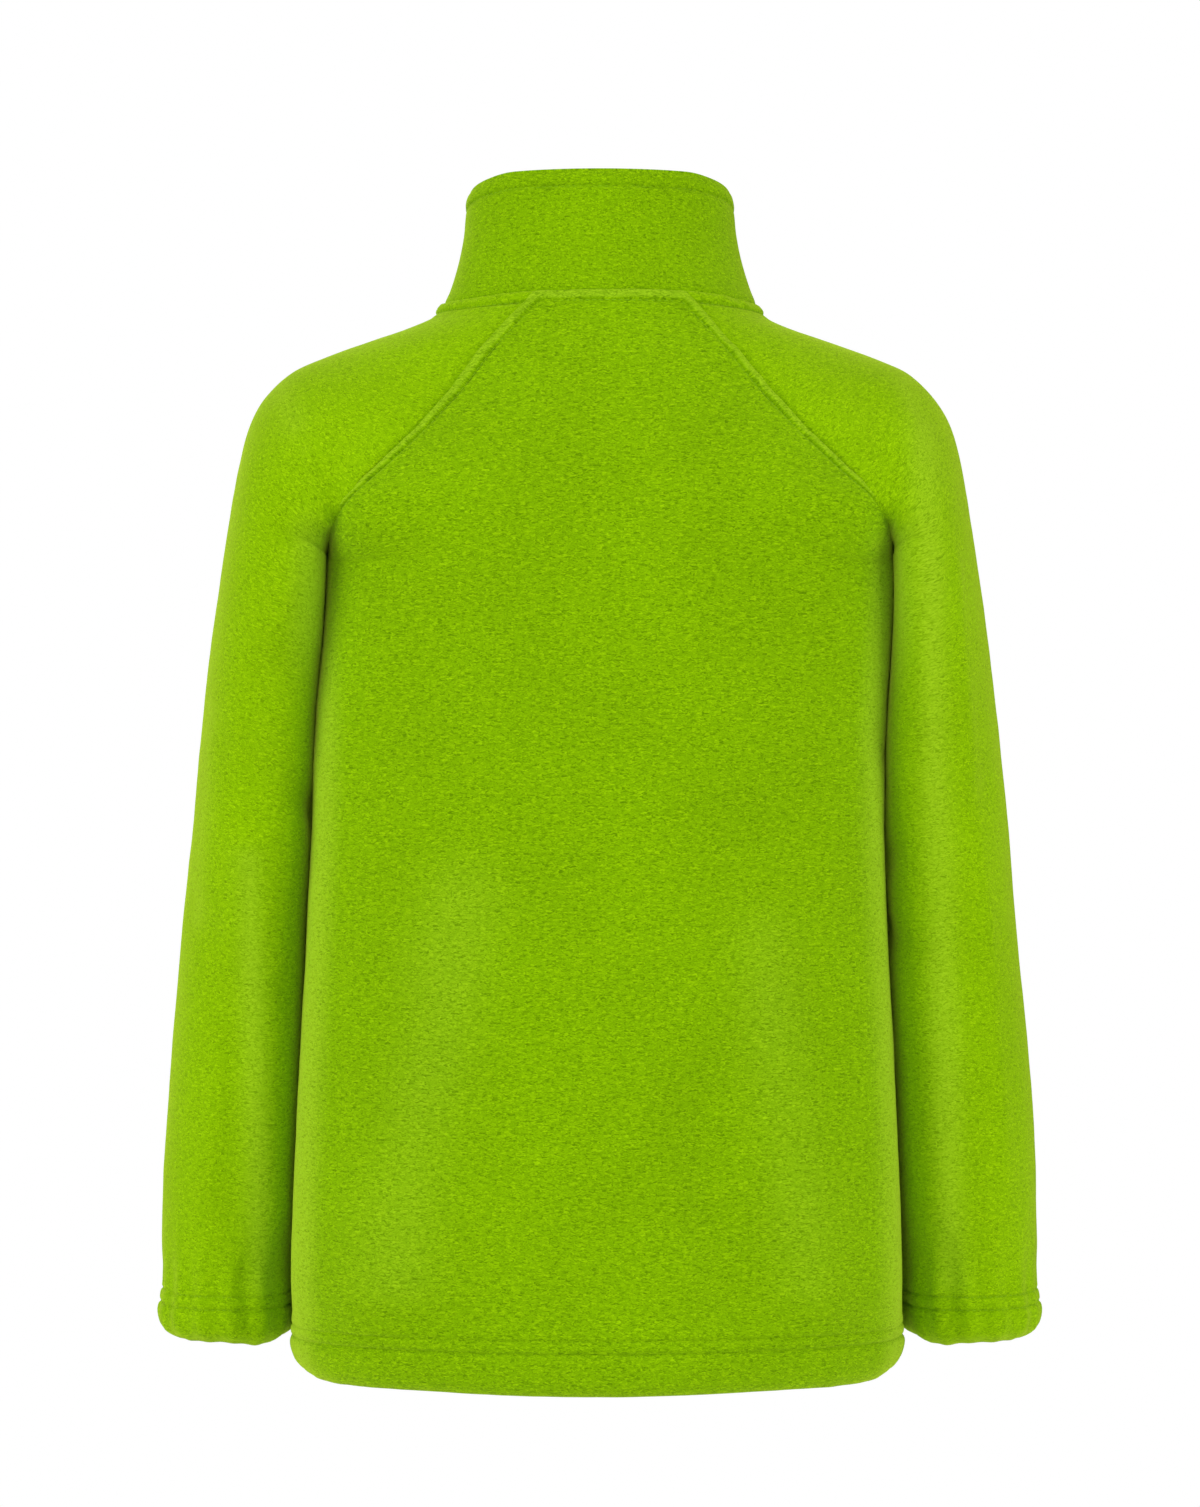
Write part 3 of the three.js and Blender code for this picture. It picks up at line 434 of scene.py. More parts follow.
# On the back half of each sleeve, by x and height, as they are seen from behind.
ARM_CREASES = {
    Side.LEFT: (
        Fold(142, -72, 135, -101, 2.8, 2.4),
        Fold(118, -56, 128, -92, 9, -1.3),
        Fold(171, -262, 167, -482, 11, 2.2),
        Fold(160, -128, 152, -160, 8, 0.9),
        Fold(176, -212, 158, -236, 9, -1.0),
        Fold(190, -330, 178, -372, 9, -0.8),
    ),
    Side.RIGHT: (
        Fold(-155, -62, -173, -474, 12, 2.4),
        Fold(-134, -48, -139, -86, 9, -1.4),
        Fold(-152, -52, -147, -108, 3.4, 1.5),
        Fold(-188, -180, -178, -330, 9, -0.9),
    ),
}


# Where the body and a sleeve lie against each other they bulge out beside the slit between them.
PRESSED = curves(
    "body", (0, 0), (30, 0.4), (42, 4), (51, 7.6), (60, 9.2), (67, 8.4), (75, 4.8), (82, 1.9), (90, 0)
)
PRESS_ARM_MM = 7.0
PRESS_AT = curves("share", (0.55, 0), (0.7, 0.25), (0.85, 0.85), (0.95, 1), (4.5, 1), (4.9, 0.35), (6, 0.3))


def by_face(back: Array, value: Callable[[Face], Array]) -> Array:
    """The back's value where back holds and the front's elsewhere."""
    return np.where(back, value(Face.BACK), value(Face.FRONT))


def seam_press(face: Face, g: Array) -> Array:
    """The bulge at a raglan seam, the same on the body and on the sleeve."""
    return PRESS_AT.share(g) * PRESSED.body(YOKE[face].side(np.clip(g, 0, 1)))


# Streaks of painted light, by x and height on the back half of each sleeve.
PAINTED_LIGHT_STREAKS = {
    Side.LEFT: (
        Fold(172, -270, 167, -480, 9, 0.5),
        Fold(192, -196, 200, -300, 6, 0.45),
        Fold(160, -36, 150, -56, 9, 0.3),
    ),
    Side.RIGHT: (
        Fold(-157, -60, -174, -478, 10, 0.55),
        Fold(-150, -36, -158, -60, 8, 0.4),
    ),
}


def leaned(p: Array) -> Array:
    """Moves the back a little off centre at the shoulders, as it hangs."""
    x, y, z = p[..., 0], p[..., 1], p[..., 2]
    high = smooth(-100, 5, z)
    outside = mix(188, 80, high)
    start = mix(0.75, 0.45, high) * outside
    share = (1 - smooth(start, 0.97 * outside, np.abs(x))) * smooth(-70, -5, y)
    return points(x + LEAN.x(z) * share, y, z)


def slopes(surface: Callable[[Array, Array], Array], g: Array, v: Array, open_edge: Array) -> Array:
    """The normals of a surface by small differences.

    Args:
        surface: gives a point for a row's place and a place across.
        g: the rows' places.
        v: the places across.
        open_edge: true where the surface ends at -1 and 1 across.

    Returns:
        Unit normals, along the cross product of down and across.
    """
    e = 1e-3
    g0, g1 = np.maximum(g - e, 0), g + e
    v0 = np.where(open_edge, np.maximum(v - e, -1), v - e)
    v1 = np.where(open_edge, np.minimum(v + e, 1), v + e)
    down = surface(g1, v) - surface(g0, v)
    across = surface(g, v1) - surface(g, v0)
    return unit(np.cross(down, across))


def level(z: float | Array, top: float) -> Array:
    """A row's place from its height below the yoke."""
    return 1 + (top - z) / ROW_MM


def height(g: Array, top: float) -> Array:
    """A row's height below the yoke from its place."""
    return top - (g - 1) * ROW_MM


@dataclass
class TrunkForm:
    """The body's surface on one face: rows g run down, and across runs from the right seam to the left."""

    face: Face
    folds: tuple[Fold, ...] = field(init=False)
    noise: Unevenness = field(init=False)

    def __post_init__(self) -> None:
        """Takes the face's folds and its own noise."""
        self.folds = BODY_FOLDS[self.face]
        self.noise = Unevenness(11 if self.face is Face.BACK else 12)

    def base(self, g: Array, across: Array) -> Array:
        """The plain surface, without folds."""
        y = YOKE[self.face]
        at = np.clip(g, 0, 1)
        end = np.radians(y.side(at))
        turn = across * end
        share = (np.cos(turn) - np.cos(end)) / (1 - np.cos(end))
        seam_y = y.depth(at) * np.sin(np.radians(y.turn(at)))
        upper = points(
            y.x(at) * np.sin(turn) / np.sin(end),
            self.face.value * mix(seam_y, y.mid_y(at), share),
            mix(y.z(at), y.mid_z(at), share),
        )
        z = height(g, UNDERARM_Z)
        turn = across * math.pi / 2
        deep = TRUNK.back(z) if self.face is Face.BACK else TRUNK.front(z)
        lower = points(
            TRUNK.half(z) * np.sin(turn),
            self.face.value * deep * np.cos(turn),
            mix(TRUNK.side_z(z), z, np.cos(turn)),
        )
        below = np.broadcast_to(np.asarray(g > 1)[..., None], upper.shape)
        return leaned(np.where(below, lower, upper))

    def normal(self, g: Array, across: Array) -> Array:
        """The outward normal of the plain surface."""
        return -self.face.value * slopes(self.base, g, across, np.full(np.shape(g + across), True))

    def half_length(self, g: Array) -> Array:
        """The length of a row from the middle to its seam."""
        a, b, c = (self.base(g, np.full(np.shape(g), s)) for s in (0.0, 0.5, 1.0))
        return np.linalg.norm(a - b, axis=-1) + np.linalg.norm(b - c, axis=-1)

    def share_at(self, g: Array, x: Array | float) -> Array:
        """The place across a row at a distance from the middle plane."""
        at = np.clip(g, 0, 1)
        y = YOKE[self.face]
        end = np.radians(y.side(at))
        upper = np.arcsin(x * np.sin(end) / y.x(at)) / end
        lower = np.arcsin(x / TRUNK.half(height(g, UNDERARM_Z))) / (math.pi / 2)
        return np.where(g > 1, lower, upper)

    def point(self, g: Array, across: Array, high: Array | float) -> Array:
        """Points of the cloth, by their rows and places across and their height out of the surface."""
        g, across = np.broadcast_arrays(g, across)
        p = self.base(g, across)
        n = self.normal(g, across)
        held = np.where(g > 1, 1 - smooth(4.58, 4.88, g), smooth(0.75, 1, g))
        held = held * (1 - smooth(0.8, 1, np.abs(across)))
        fold = sum(f.relief(p[..., 0], p[..., 2], self.noise) for f in self.folds) * held
        turn = np.abs(across) * YOKE[self.face].side(np.clip(g, 0, 1))
        fold = fold + PRESS_AT.share(g) * PRESSED.body(turn)
        edge = 1 - smooth(0, ROLL_MM, (1 - np.abs(across)) * self.half_length(g))
        turned = [seam_normal(s, self.face, g) for s in (Side.RIGHT, Side.LEFT)]
        seam = np.where((across > 0)[..., None], turned[1], turned[0])
        beside = [across_seam(s, self.face, g) for s in (Side.RIGHT, Side.LEFT)]
        aside = np.where((across > 0)[..., None], beside[1], beside[0])
        yoke = (g <= 1)[..., None]
        w = edge[..., None]
        n = unit(np.where(yoke, mix(n, seam, w), n))
        side_shift = points(0, self.face.value, 0)
        p = p + np.where(yoke, -aside, side_shift) * w * BODY_SEAM_GAP / 2
        return p + n * (fold + high)[..., None]


@dataclass
class ArmForm:
    """A sleeve's surface: rows g run down, and around runs from the front seam over the top to the back."""

    side: Side
    folds: tuple[Fold, ...] = field(init=False)
    noise: Unevenness = field(init=False)

    def __post_init__(self) -> None:
        """Takes the sleeve's folds and its own noise."""
        self.folds = ARM_FOLDS[self.side]
        self.noise = Unevenness(21 if self.side is Side.LEFT else 22)

    def base(self, g: Array, around: Array) -> Array:
        """The plain surface, without folds."""
        g, around = np.broadcast_arrays(g, around)
        at = np.clip(g, 0, 1)
        front, back = YOKE[Face.FRONT], YOKE[Face.BACK]
        ahead = around < 0
        below = g > 1
        z = height(g, ARMPIT_Z)
        inner_z = np.where(below, ARM.inner_z(z), np.where(ahead, front.z(at), back.z(at)))
        mid_y = np.where(below, ARM.mid_y(z), 0)
        nearest = TRUNK.half(inner_z) * np.sqrt(1 - (mid_y / TRUNK.front(inner_z)) ** 2)
        inner_x = np.where(below, nearest + ARM.clear(z), np.where(ahead, front.x(at), back.x(at)))
        top_x = np.where(below, ARM.x(z), RIDGE.x(at))
        top_z = np.where(below, z, RIDGE.z(at))
        end = np.radians(np.where(below, 180.0, np.where(ahead, front.turn(at), back.turn(at))))
        deep = np.where(below, ARM.depth(z), np.where(ahead, front.depth(at), back.depth(at)))
        draw = np.where(below, ARM.draw(z), 0)
        dx, dz = top_x - inner_x, top_z - inner_z
        length = np.hypot(dx, dz)
        half = length / (1 - np.cos(end))
        reach = -half + (half - draw) * np.cos(around * end)
        x = top_x + dx / length * reach
        y = mid_y + (deep - draw) * np.sin(around * end)
        return leaned(points(self.side.value * x, y, top_z + dz / length * reach))

    def normal(self, g: Array, around: Array) -> Array:
        """The outward normal of the plain surface."""
        g, around = np.broadcast_arrays(g, around)
        return self.side.value * slopes(self.base, g, around, g <= 1)

    def half_length(self, g: Array, face: Face) -> Array:
        """The length of a row from the ridge to one seam."""
        places = [self.base(g, np.full(np.shape(g), face.value * s)) for s in np.linspace(0, 1, 7)]
        return sum(np.linalg.norm(a - b, axis=-1) for a, b in zip(places, places[1:]))

    def point(self, g: Array, around: Array, high: Array | float) -> Array:
        """Points of the cloth, by their rows and places around and their height out of the surface."""
        g, around = np.broadcast_arrays(g, around)
        p = self.base(g, around)
        n = self.normal(g, around)
        back = around >= 0
        at = np.clip(g, 0, 1)
        turn = np.where(g <= 1, by_face(back, lambda face: YOKE[face].turn(at)), 180.0)
        degrees = around * turn
        z = np.where(g > 1, height(g, ARMPIT_Z), p[..., 2])
        held = smooth(0.7, 1, g) * (1 - smooth(4.3, 4.7, g)) * (1 - smooth(150, 178, np.abs(degrees)))
        fold = sum(f.relief(degrees * TURN_MM, z, self.noise) for f in self.folds) * held
        seen = smooth(0, 0.15, around) * (1 - smooth(0.93, 1, around)) * (1 - smooth(4.5, 4.8, g))
        fold = fold + sum(f.relief(p[..., 0], p[..., 2], self.noise) for f in ARM_CREASES[self.side]) * seen
        own = smooth(90, 125, np.abs(degrees)) * (1 - smooth(130, 168, np.abs(degrees)))
        own = own * PRESS_ARM_MM * PRESS_AT.share(g)
        at_seam = by_face(back, lambda face: seam_press(face, g))
        fold = fold + mix(own, at_seam, np.where(g <= 1, smooth(0.75, 1, np.abs(around)), 0))
        length = by_face(back, lambda face: self.half_length(g, face))
        edge = np.where(g <= 1, 1 - smooth(0, ROLL_MM, (1 - np.abs(around)) * length), 0)[..., None]
        seam = by_face(back[..., None], lambda face: seam_normal(self.side, face, g))
        aside = by_face(back[..., None], lambda face: across_seam(self.side, face, g))
        n = unit(mix(n, seam, edge))
        return p + aside * edge * SLEEVE_SEAM_GAP / 2 + n * (fold + high)[..., None]


TRUNKS = {face: TrunkForm(face) for face in Face}
ARMS = {side: ArmForm(side) for side in Side}
_seams: dict[tuple, Array] = {}


def seam_normal(side: Side, face: Face, g: Array) -> Array:
    """The direction that both cloths share along a raglan seam, for each row of a grid."""
    rows = np.unique(np.clip(g, 0, 1))
    key = (side, face, rows.tobytes())
    if key not in _seams:
        of_trunk = TRUNKS[face].normal(rows, np.full(rows.shape, float(side.value)))
        of_arm = ARMS[side].normal(rows, np.full(rows.shape, face.value * 0.999))
        both = of_trunk + of_arm
        both[rows >= 1, 1] = 0
        _seams[key] = unit(both)
    return _seams[key][np.searchsorted(rows, np.clip(g, 0, 1))]


def across_seam(side: Side, face: Face, g: Array) -> Array:
    """The direction from the body to the sleeve across a raglan seam."""
    at = np.clip(g, 0, 1)
    y = YOKE[face]
    return unit(points(side.value * (RIDGE.x(at) - y.x(at)), 0, RIDGE.z(at) - y.z(at)))


# ---- meshes


@dataclass
class Grid:
    """Rows of points of one side of a cloth piece, with their places on the laid-out cloth."""

    places: Array  # (rows,) how far down each row is
    points: Array  # (rows, columns, 3) millimetres
    laid: Array  # (rows, columns, 2) metres on the flat cloth
    sunk: Array  # (rows, columns) 1 in a stitch line, darkened there with painted shade
    pale: Array | float = 0.0  # (rows, columns) 1 where light is painted on as a paler colour


def laid_out(p: Array) -> Array:
    """Lays a grid flat.

    Args:
        p: the grid's points in millimetres.

    Returns:
        Metres across from the middle column and down from the first row.
    """
    across = np.linalg.norm(np.diff(p, axis=1), axis=-1)
    u = np.concatenate([np.zeros((len(p), 1)), np.cumsum(across, axis=1)], axis=1)
    middle = p.shape[1] // 2
    u = u - u[:, middle : middle + 1]
    down = np.linalg.norm(np.diff(p[:, middle], axis=0), axis=-1)
    v = np.concatenate([[0.0], np.cumsum(down)])[:, None]
    return np.stack(np.broadcast_arrays(u, v), axis=-1) * MM


class MeshMaker:
    """Collects corners and faces and turns them into one mesh object."""

    def __init__(self, name: str) -> None:
        """Starts an empty mesh with a name."""
        self.name = name
        self.corners: list[Array] = []
        self.laid: list[Array] = []
        self.sunk: list[Array] = []
        self.pale: list[Array] = []
        self.faces: list[tuple[int, ...]] = []
        self.face_laid: list[list[tuple[float, float]]] = []
        self.count = 0

    def add_points(self, grid: Grid) -> Array:
        """Adds a grid's corners and returns their numbers in the shape of the grid."""
        flat = grid.points.reshape(-1, 3)
        shape = grid.points.shape[:-1]
        ids = np.arange(self.count, self.count + len(flat)).reshape(shape)
        self.corners.append(flat)
        self.laid.append(grid.laid.reshape(-1, 2))
        self.sunk.append(np.broadcast_to(grid.sunk, shape).reshape(-1))
        self.pale.append(np.broadcast_to(grid.pale, shape).reshape(-1))
        self.count += len(flat)
        return ids

    def add_sheet(self, ids: Array, laid: Array, outward: bool) -> None:
        """Adds the quads of a grid.

        Args:
            ids: the corners' numbers.
            laid: the corners' places on the flat cloth.
            outward: false for the inside of a wall, whose faces turn the other way.
        """
        turns = [(slice(None, -1), slice(None, -1)), (slice(1, None), slice(None, -1))]
        turns += [(slice(1, None), slice(1, None)), (slice(None, -1), slice(1, None))]
        if not outward:
            turns.reverse()
        quads = np.stack([ids[t] for t in turns], axis=-1).reshape(-1, 4)
        places = np.stack([laid[t] for t in turns], axis=-2).reshape(-1, 4, 2)
        self.faces.extend(map(tuple, quads.tolist()))
        self.face_laid.extend(places.tolist())

    def zip_edges(self, a: Array, b: Array, keys_a: Array, keys_b: Array, places: Array) -> None:
        """Joins two rows of corners with triangles.

        Args:
            a: the numbers of the upper row.
            b: the numbers of the lower row.
            keys_a: how far along each corner of the upper row is.
            keys_b: how far along each corner of the lower row is.
            places: the flat place of every corner.
        """
        i = j = 0
        while i < len(a) - 1 or j < len(b) - 1:
            next_a = keys_a[i + 1] if i < len(a) - 1 else math.inf
            next_b = keys_b[j + 1] if j < len(b) - 1 else math.inf
            if next_a < next_b - 1e-9:
                corners = (a[i], b[j], a[i + 1])
                i += 1
            else:
                corners = (a[i], b[j], b[j + 1])
                j += 1
            if len(set(corners)) == 3:
                self.faces.append(tuple(int(c) for c in corners))
                self.face_laid.append([tuple(places[c]) for c in corners])

    def build(self) -> bpy.types.Object:
        """Makes the object, in metres, smooth, with its flat places and stitch lines on it."""
        corners = np.concatenate(self.corners) * MM
        used = np.zeros(len(corners), bool)
        loops = np.fromiter((c for f in self.faces for c in f), int)
        used[loops] = True
        renumber = np.cumsum(used) - 1
        sizes = np.fromiter((len(f) for f in self.faces), int)
        starts = np.concatenate([[0], np.cumsum(sizes)[:-1]])
        mesh = bpy.data.meshes.new(self.name)
        mesh.vertices.add(int(used.sum()))
        mesh.vertices.foreach_set("co", corners[used].astype(np.float32).ravel())
        mesh.loops.add(len(loops))
        mesh.loops.foreach_set("vertex_index", renumber[loops].astype(np.int32))
        mesh.polygons.add(len(sizes))
        mesh.polygons.foreach_set("loop_start", starts.astype(np.int32))
        mesh.polygons.foreach_set("loop_total", sizes.astype(np.int32))
        mesh.update(calc_edges=True)
        mesh.polygons.foreach_set("use_smooth", np.ones(len(sizes), bool))
        flat = np.array([c for f in self.face_laid for c in f], np.float32)
        mesh.uv_layers.new(name="laid").data.foreach_set("uv", flat.ravel())
        for name, values in (("sunk", self.sunk), ("pale", self.pale)):
            value = np.concatenate(values)[used].astype(np.float32)
            mesh.attributes.new(name, "FLOAT", "POINT").data.foreach_set("value", value)
        mesh.validate()
        made = placed(self.name, mesh)
        if signed_volume(mesh) < 0:
            mesh.flip_normals()
        return made


def placed(name: str, data: bpy.types.ID) -> bpy.types.Object:
    """A new object in the scene."""
    made = bpy.data.objects.new(name, data)
    bpy.context.scene.collection.objects.link(made)
    return made


def signed_volume(mesh: bpy.types.Mesh) -> float:
    """The volume inside a closed mesh, below 0 where its faces point inwards."""
    mesh.calc_loop_triangles()
    co = np.zeros(len(mesh.vertices) * 3, np.float32)
    mesh.vertices.foreach_get("co", co)
    index = np.zeros(len(mesh.loop_triangles) * 3, np.int32)
    mesh.loop_triangles.foreach_get("vertices", index)
    t = co.reshape(-1, 3)[index.reshape(-1, 3)].astype(float)
    return float(np.einsum("ij,ij->i", t[:, 0], np.cross(t[:, 1], t[:, 2])).sum() / 6)


def cloth_shell(name: str, outer: Grid, inner: Grid, open_down_to: float = math.inf) -> bpy.types.Object:
    """Makes a closed wall of cloth between its outside and its inside.

    Args:
        name: the piece's name.
        outer: the outside, from the top down.
        inner: the plainer inside.
        open_down_to: the place from which the rows are closed tubes.

    Returns:
        The piece.
    """
    maker = MeshMaker(name)
    ids = []
    for grid, outward in ((outer, True), (inner, False)):
        numbers = maker.add_points(grid)
        tube = grid.places >= open_down_to - 1e-9
        numbers[tube, -1] = numbers[tube, 0]
        maker.add_sheet(numbers, grid.laid, outward)
        ids.append(numbers)
    out, ins = ids
    places = np.concatenate(maker.laid)
    maker.zip_edges(ins[0], out[0], along_row(inner.points[0]), along_row(outer.points[0]), places)
    maker.zip_edges(out[-1], ins[-1], along_row(outer.points[-1]), along_row(inner.points[-1]), places)
    out_rows = outer.places <= open_down_to + 1e-9
    in_rows = inner.places <= open_down_to + 1e-9
    keys_out, keys_in = outer.places[out_rows], inner.places[in_rows]
    maker.zip_edges(out[out_rows, 0], ins[in_rows, 0], keys_out, keys_in, places)
    maker.zip_edges(ins[in_rows, -1], out[out_rows, -1], keys_in - 1e-6, keys_out, places)
    return maker.build()


def along_row(row: Array) -> Array:
    """How far along a row each of its points is, from 0 to 1."""
    steps = np.concatenate([[0.0], np.cumsum(np.linalg.norm(np.diff(row, axis=0), axis=-1))])
    return steps / steps[-1]


@dataclass
class StitchLine:
    """A line of topstitching: its points and the outward direction at each."""

    at: Array
    out: Array


def spaced(start: float, end: float, step: float) -> Array:
    """Evenly spaced numbers from start to end, about a step apart."""
    return np.linspace(start, end, max(2, round(abs(end - start) / step) + 1))


def merged(*parts: Iterable[float], least: float = 0.25) -> Array:
    """Sorts numbers and drops those closer than a least distance to the one before."""
    kept: list[float] = []
    for value in sorted(float(v) for part in parts for v in part):
        if not kept or value - kept[-1] > least:
            kept.append(value)
    return np.array(kept)


# ---- the cloth pieces

SEAM_IN = (0, 0.35, 0.8, 1.4, 2.2, 3.2, 4.3, 5.2, 5.9, 6.4, 6.8, 7.2, 7.8, 8.7, 10, 12)
HEM_LINES = (-497.3, -503.8)
CUFF_LINES = (-487.4, -494)
STITCH_IN = 6.8  # from a seam to its topstitching
STITCH_HALF_MM = 0.7  # half the width of the groove that a line of stitches pulls in
BAND_MM = 1.6  # how far a topstitched seam allowance stands up
PLAIN_STEP = 2.6


def neck_relief(g: Array) -> Array:
    """The height of the doubled cloth below the neck seam."""
    return BAND_MM * SEAM_BAND.high(g * YOKE_MM)


def in_line(off: Array, half: float = STITCH_HALF_MM) -> Array:
    """How deep in a stitch line a place is, from 0 to 1, by its distance from the line."""
    return np.exp(-((off / half) ** 2))


def cloth_relief(noise: Unevenness, laid: Array) -> Array:
    """The slight unevenness of soft cloth that hangs filled out."""
    u, v = laid[..., 0] / MM, laid[..., 1] / MM
    return 0.42 * noise.at(u, v, 46) + 0.16 * noise.at(u + 300, v, 17) + 0.07 * noise.at(u, v + 90, 7.5)


def pucker(noise: Unevenness, along: Array) -> Array:
    """How tight a stitch line is along its length."""
    return 1 + 0.35 * noise.at(along, 0 * along, 5.2) + 0.25 * noise.at(along, 0 * along + 40, 11)


def rows_down(fine: bool, seam_z: float, low: Sequence[float], turn_z: float, turned: Array) -> Array:
    """The places of a cloth's rows from the neck to the fold at its foot.

    Args:
        fine: close rows for the outside or wide ones for the inside.
        seam_z: the height of the raglan seam's lower end.
        low: the heights of the wide rows below that end.
        turn_z: the height down to which the close rows are evenly spaced.
        turned: the heights of the close rows of the turned-up foot.

    Returns:
        The rows' places.
    """
    if not fine:
        return np.concatenate([WIDE_ROWS / YOKE_MM, level(np.array(low), seam_z)])
    yoke = np.concatenate([SEAM_IN, spaced(14, YOKE_MM, PLAIN_STEP)]) / YOKE_MM
    plain = level(spaced(seam_z, turn_z, PLAIN_STEP)[1:], seam_z)
    return np.concatenate([yoke, plain, level(turned, seam_z)])


def both_faces(cloth: "BodyPanel | Sleeve") -> tuple[Grid, Grid]:
    """The outside and the inside of a panel or sleeve."""
    made = []
    for fine in (True, False):
        g = cloth.rows(fine)
        across = cloth.columns(g, fine)
        place = np.broadcast_to(g[:, None], across.shape)
        laid = laid_out(cloth.form.base(place, across))
        if fine:
            high, sunk = cloth.relief(place, across, laid)
        else:
            high, sunk = np.full(across.shape, -CLOTH_MM), np.zeros(across.shape)
        p = cloth.form.point(place, across, high)
        made.append(Grid(g, p, laid, sunk, cloth.pale(g, across, p)))
    return made[0], made[1]


@dataclass
class BodyPanel:
    """The back, or a front on one side of the zip."""

    name: str
    node: str
    form: TrunkForm
    side: Side | None = None
    plain_columns: int = 68

    def rows(self, fine: bool) -> Array:
        """The places of the rows from the neck to the fold of the hem."""
        low = [-122, -135, -150, -172, -195, -220, -245, -270, -295, -320, -345, -370, -395, -420]
        low += [-441, -460, -480, -496, -504, -514, -521, -524.5]
        lines = [z + d for z in HEM_LINES for d in (-1.5, -1.0, -0.5, 0, 0.5, 1.0, 1.5)]
        hem = merged(lines, spaced(-524.5, -486, 1.5), least=0.4)[::-1]
        return rows_down(fine, UNDERARM_Z, low, -484, hem)

    def columns(self, g: Array, fine: bool) -> Array:
        """The places across each row, from the right seam, or the zip's edge, to the left seam."""
        length = self.form.half_length(g)[:, None]
        seam_in = np.array(SEAM_IN[::-1]) if fine else np.array([12.0, 6.0, 0.0])
        band = 1 - seam_in[None] / length
        count = self.plain_columns if fine else 12
        if self.side is None:
            first = np.zeros((len(g), 1))
        else:
            x = np.array([6.5, 6.8, 7.2, 7.8, 8.8, 10.2, 11.6, 12.5, 13.1, 13.6, 14.1, 14.9, 16.2])
            x = x if fine else np.array([6.5, 16.2])
            first = self.form.share_at(g[:, None], x[None])
        share = np.arange(1, count)[None] / count
        plain = mix(first[:, -1:], band[:, :1], share)
        half = np.concatenate([first, plain, band], axis=1)
        if self.side is None:
            return np.concatenate([-half[:, :0:-1], half], axis=1)
        return half if self.side is Side.LEFT else -half[:, ::-1]

    def relief(self, g: Array, across: Array, laid: Array) -> tuple[Array, Array]:
        """The height of the outside over the plain cloth, and how deep in a stitch line it is."""
        noise = self.form.noise
        seam_in = (1 - np.abs(across)) * self.form.half_length(g)
        u, v = laid[..., 0] / MM, laid[..., 1] / MM
        z = height(g, UNDERARM_Z)
        band = BAND_HIGH.high(np.clip(g, 0, 1)) * SEAM_BAND.high(seam_in) * pucker(noise, v)
        neck = neck_relief(g) * pucker(noise, u)
        high = np.where(g <= 0.09, np.maximum(neck, band), band)
        high = np.where(g > 1, HEM_RELIEF.high(z) * np.where(z < -486, 0.5 + 0.5 * pucker(noise, u), 1), high)
        if self.side is not None:
            x = np.abs(self.form.base(g, across)[..., 0])
            zip_edge = ZIP_EDGE_RELIEF.high(x) * pucker(noise, v + 60)
            high = np.where(x < 16, np.maximum(high, zip_edge), high)
            groove = (np.abs(x - ZIP_STITCH_X) < 1.3) & (g > 0.05)
            high = np.where(groove, np.minimum(high, zip_edge + 0.4 * (high > 1)), high)
        side_seam = np.where(g > 0.93, -0.35 * (1 - smooth(0, 2.6, seam_in)), 0)
        calm = smooth(0, 9, seam_in) * smooth(0, 0.06, g) * (1 - 0.6 * smooth(4.6, 4.7, g))
        sunk = in_line(seam_in - STITCH_IN) * (BAND_HIGH.high(np.clip(g, 0, 1)) / BAND_MM)
        sunk = np.maximum(sunk * (g > 0.04), in_line(g * YOKE_MM - STITCH_IN))
        for line in HEM_LINES:
            sunk = np.maximum(sunk, in_line(z - line))
        if self.side is not None:
            sunk = np.maximum(sunk, in_line(x - ZIP_STITCH_X))
        return high + side_seam + cloth_relief(noise, laid) * mix(0.25, 1, calm), sunk

    def pale(self, g: Array, across: Array, p: Array) -> Array:
        """How much light is painted on as a paler colour: painted highlights on the raised bands and below
        the neck seam, painted light where the body turns in to its side beside the shaded slit, and painted
        highlights on the crests of the big folds.
        """
        rows = g[:, None]
        seam_in = (1 - np.abs(across)) * self.form.half_length(rows)
        band = smooth(0.4, 1.6, seam_in) * (1 - smooth(4.6, 6, seam_in)) * (1 - smooth(0.96, 1.0, rows))
        neck = smooth(0.4, 1.6, rows * YOKE_MM) * (1 - smooth(4.6, 6, rows * YOKE_MM))
        x = np.abs(p[..., 0])
        outmost = x.max(axis=1, keepdims=True)
        turned = smooth(outmost - 20, outmost - 4, x) * smooth(0.86, 1.0, rows)
        turned = turned * smooth(10, 28, np.abs(p[..., 1]))
        # Painted highlights on the crests of the big folds, fading out towards the hem.
        crests = [f for f in self.form.folds if f.high > 2]
        wear_and_crest_light = 0.06 * sum(f.relief(p[..., 0], p[..., 2], self.form.noise) for f in crests)
        wear_and_crest_light = wear_and_crest_light * (1 - smooth(-470, -492, p[..., 2]))
        return np.clip(np.maximum(np.maximum(band, neck) * 0.55, np.maximum(turned, wear_and_crest_light)), 0, 1)

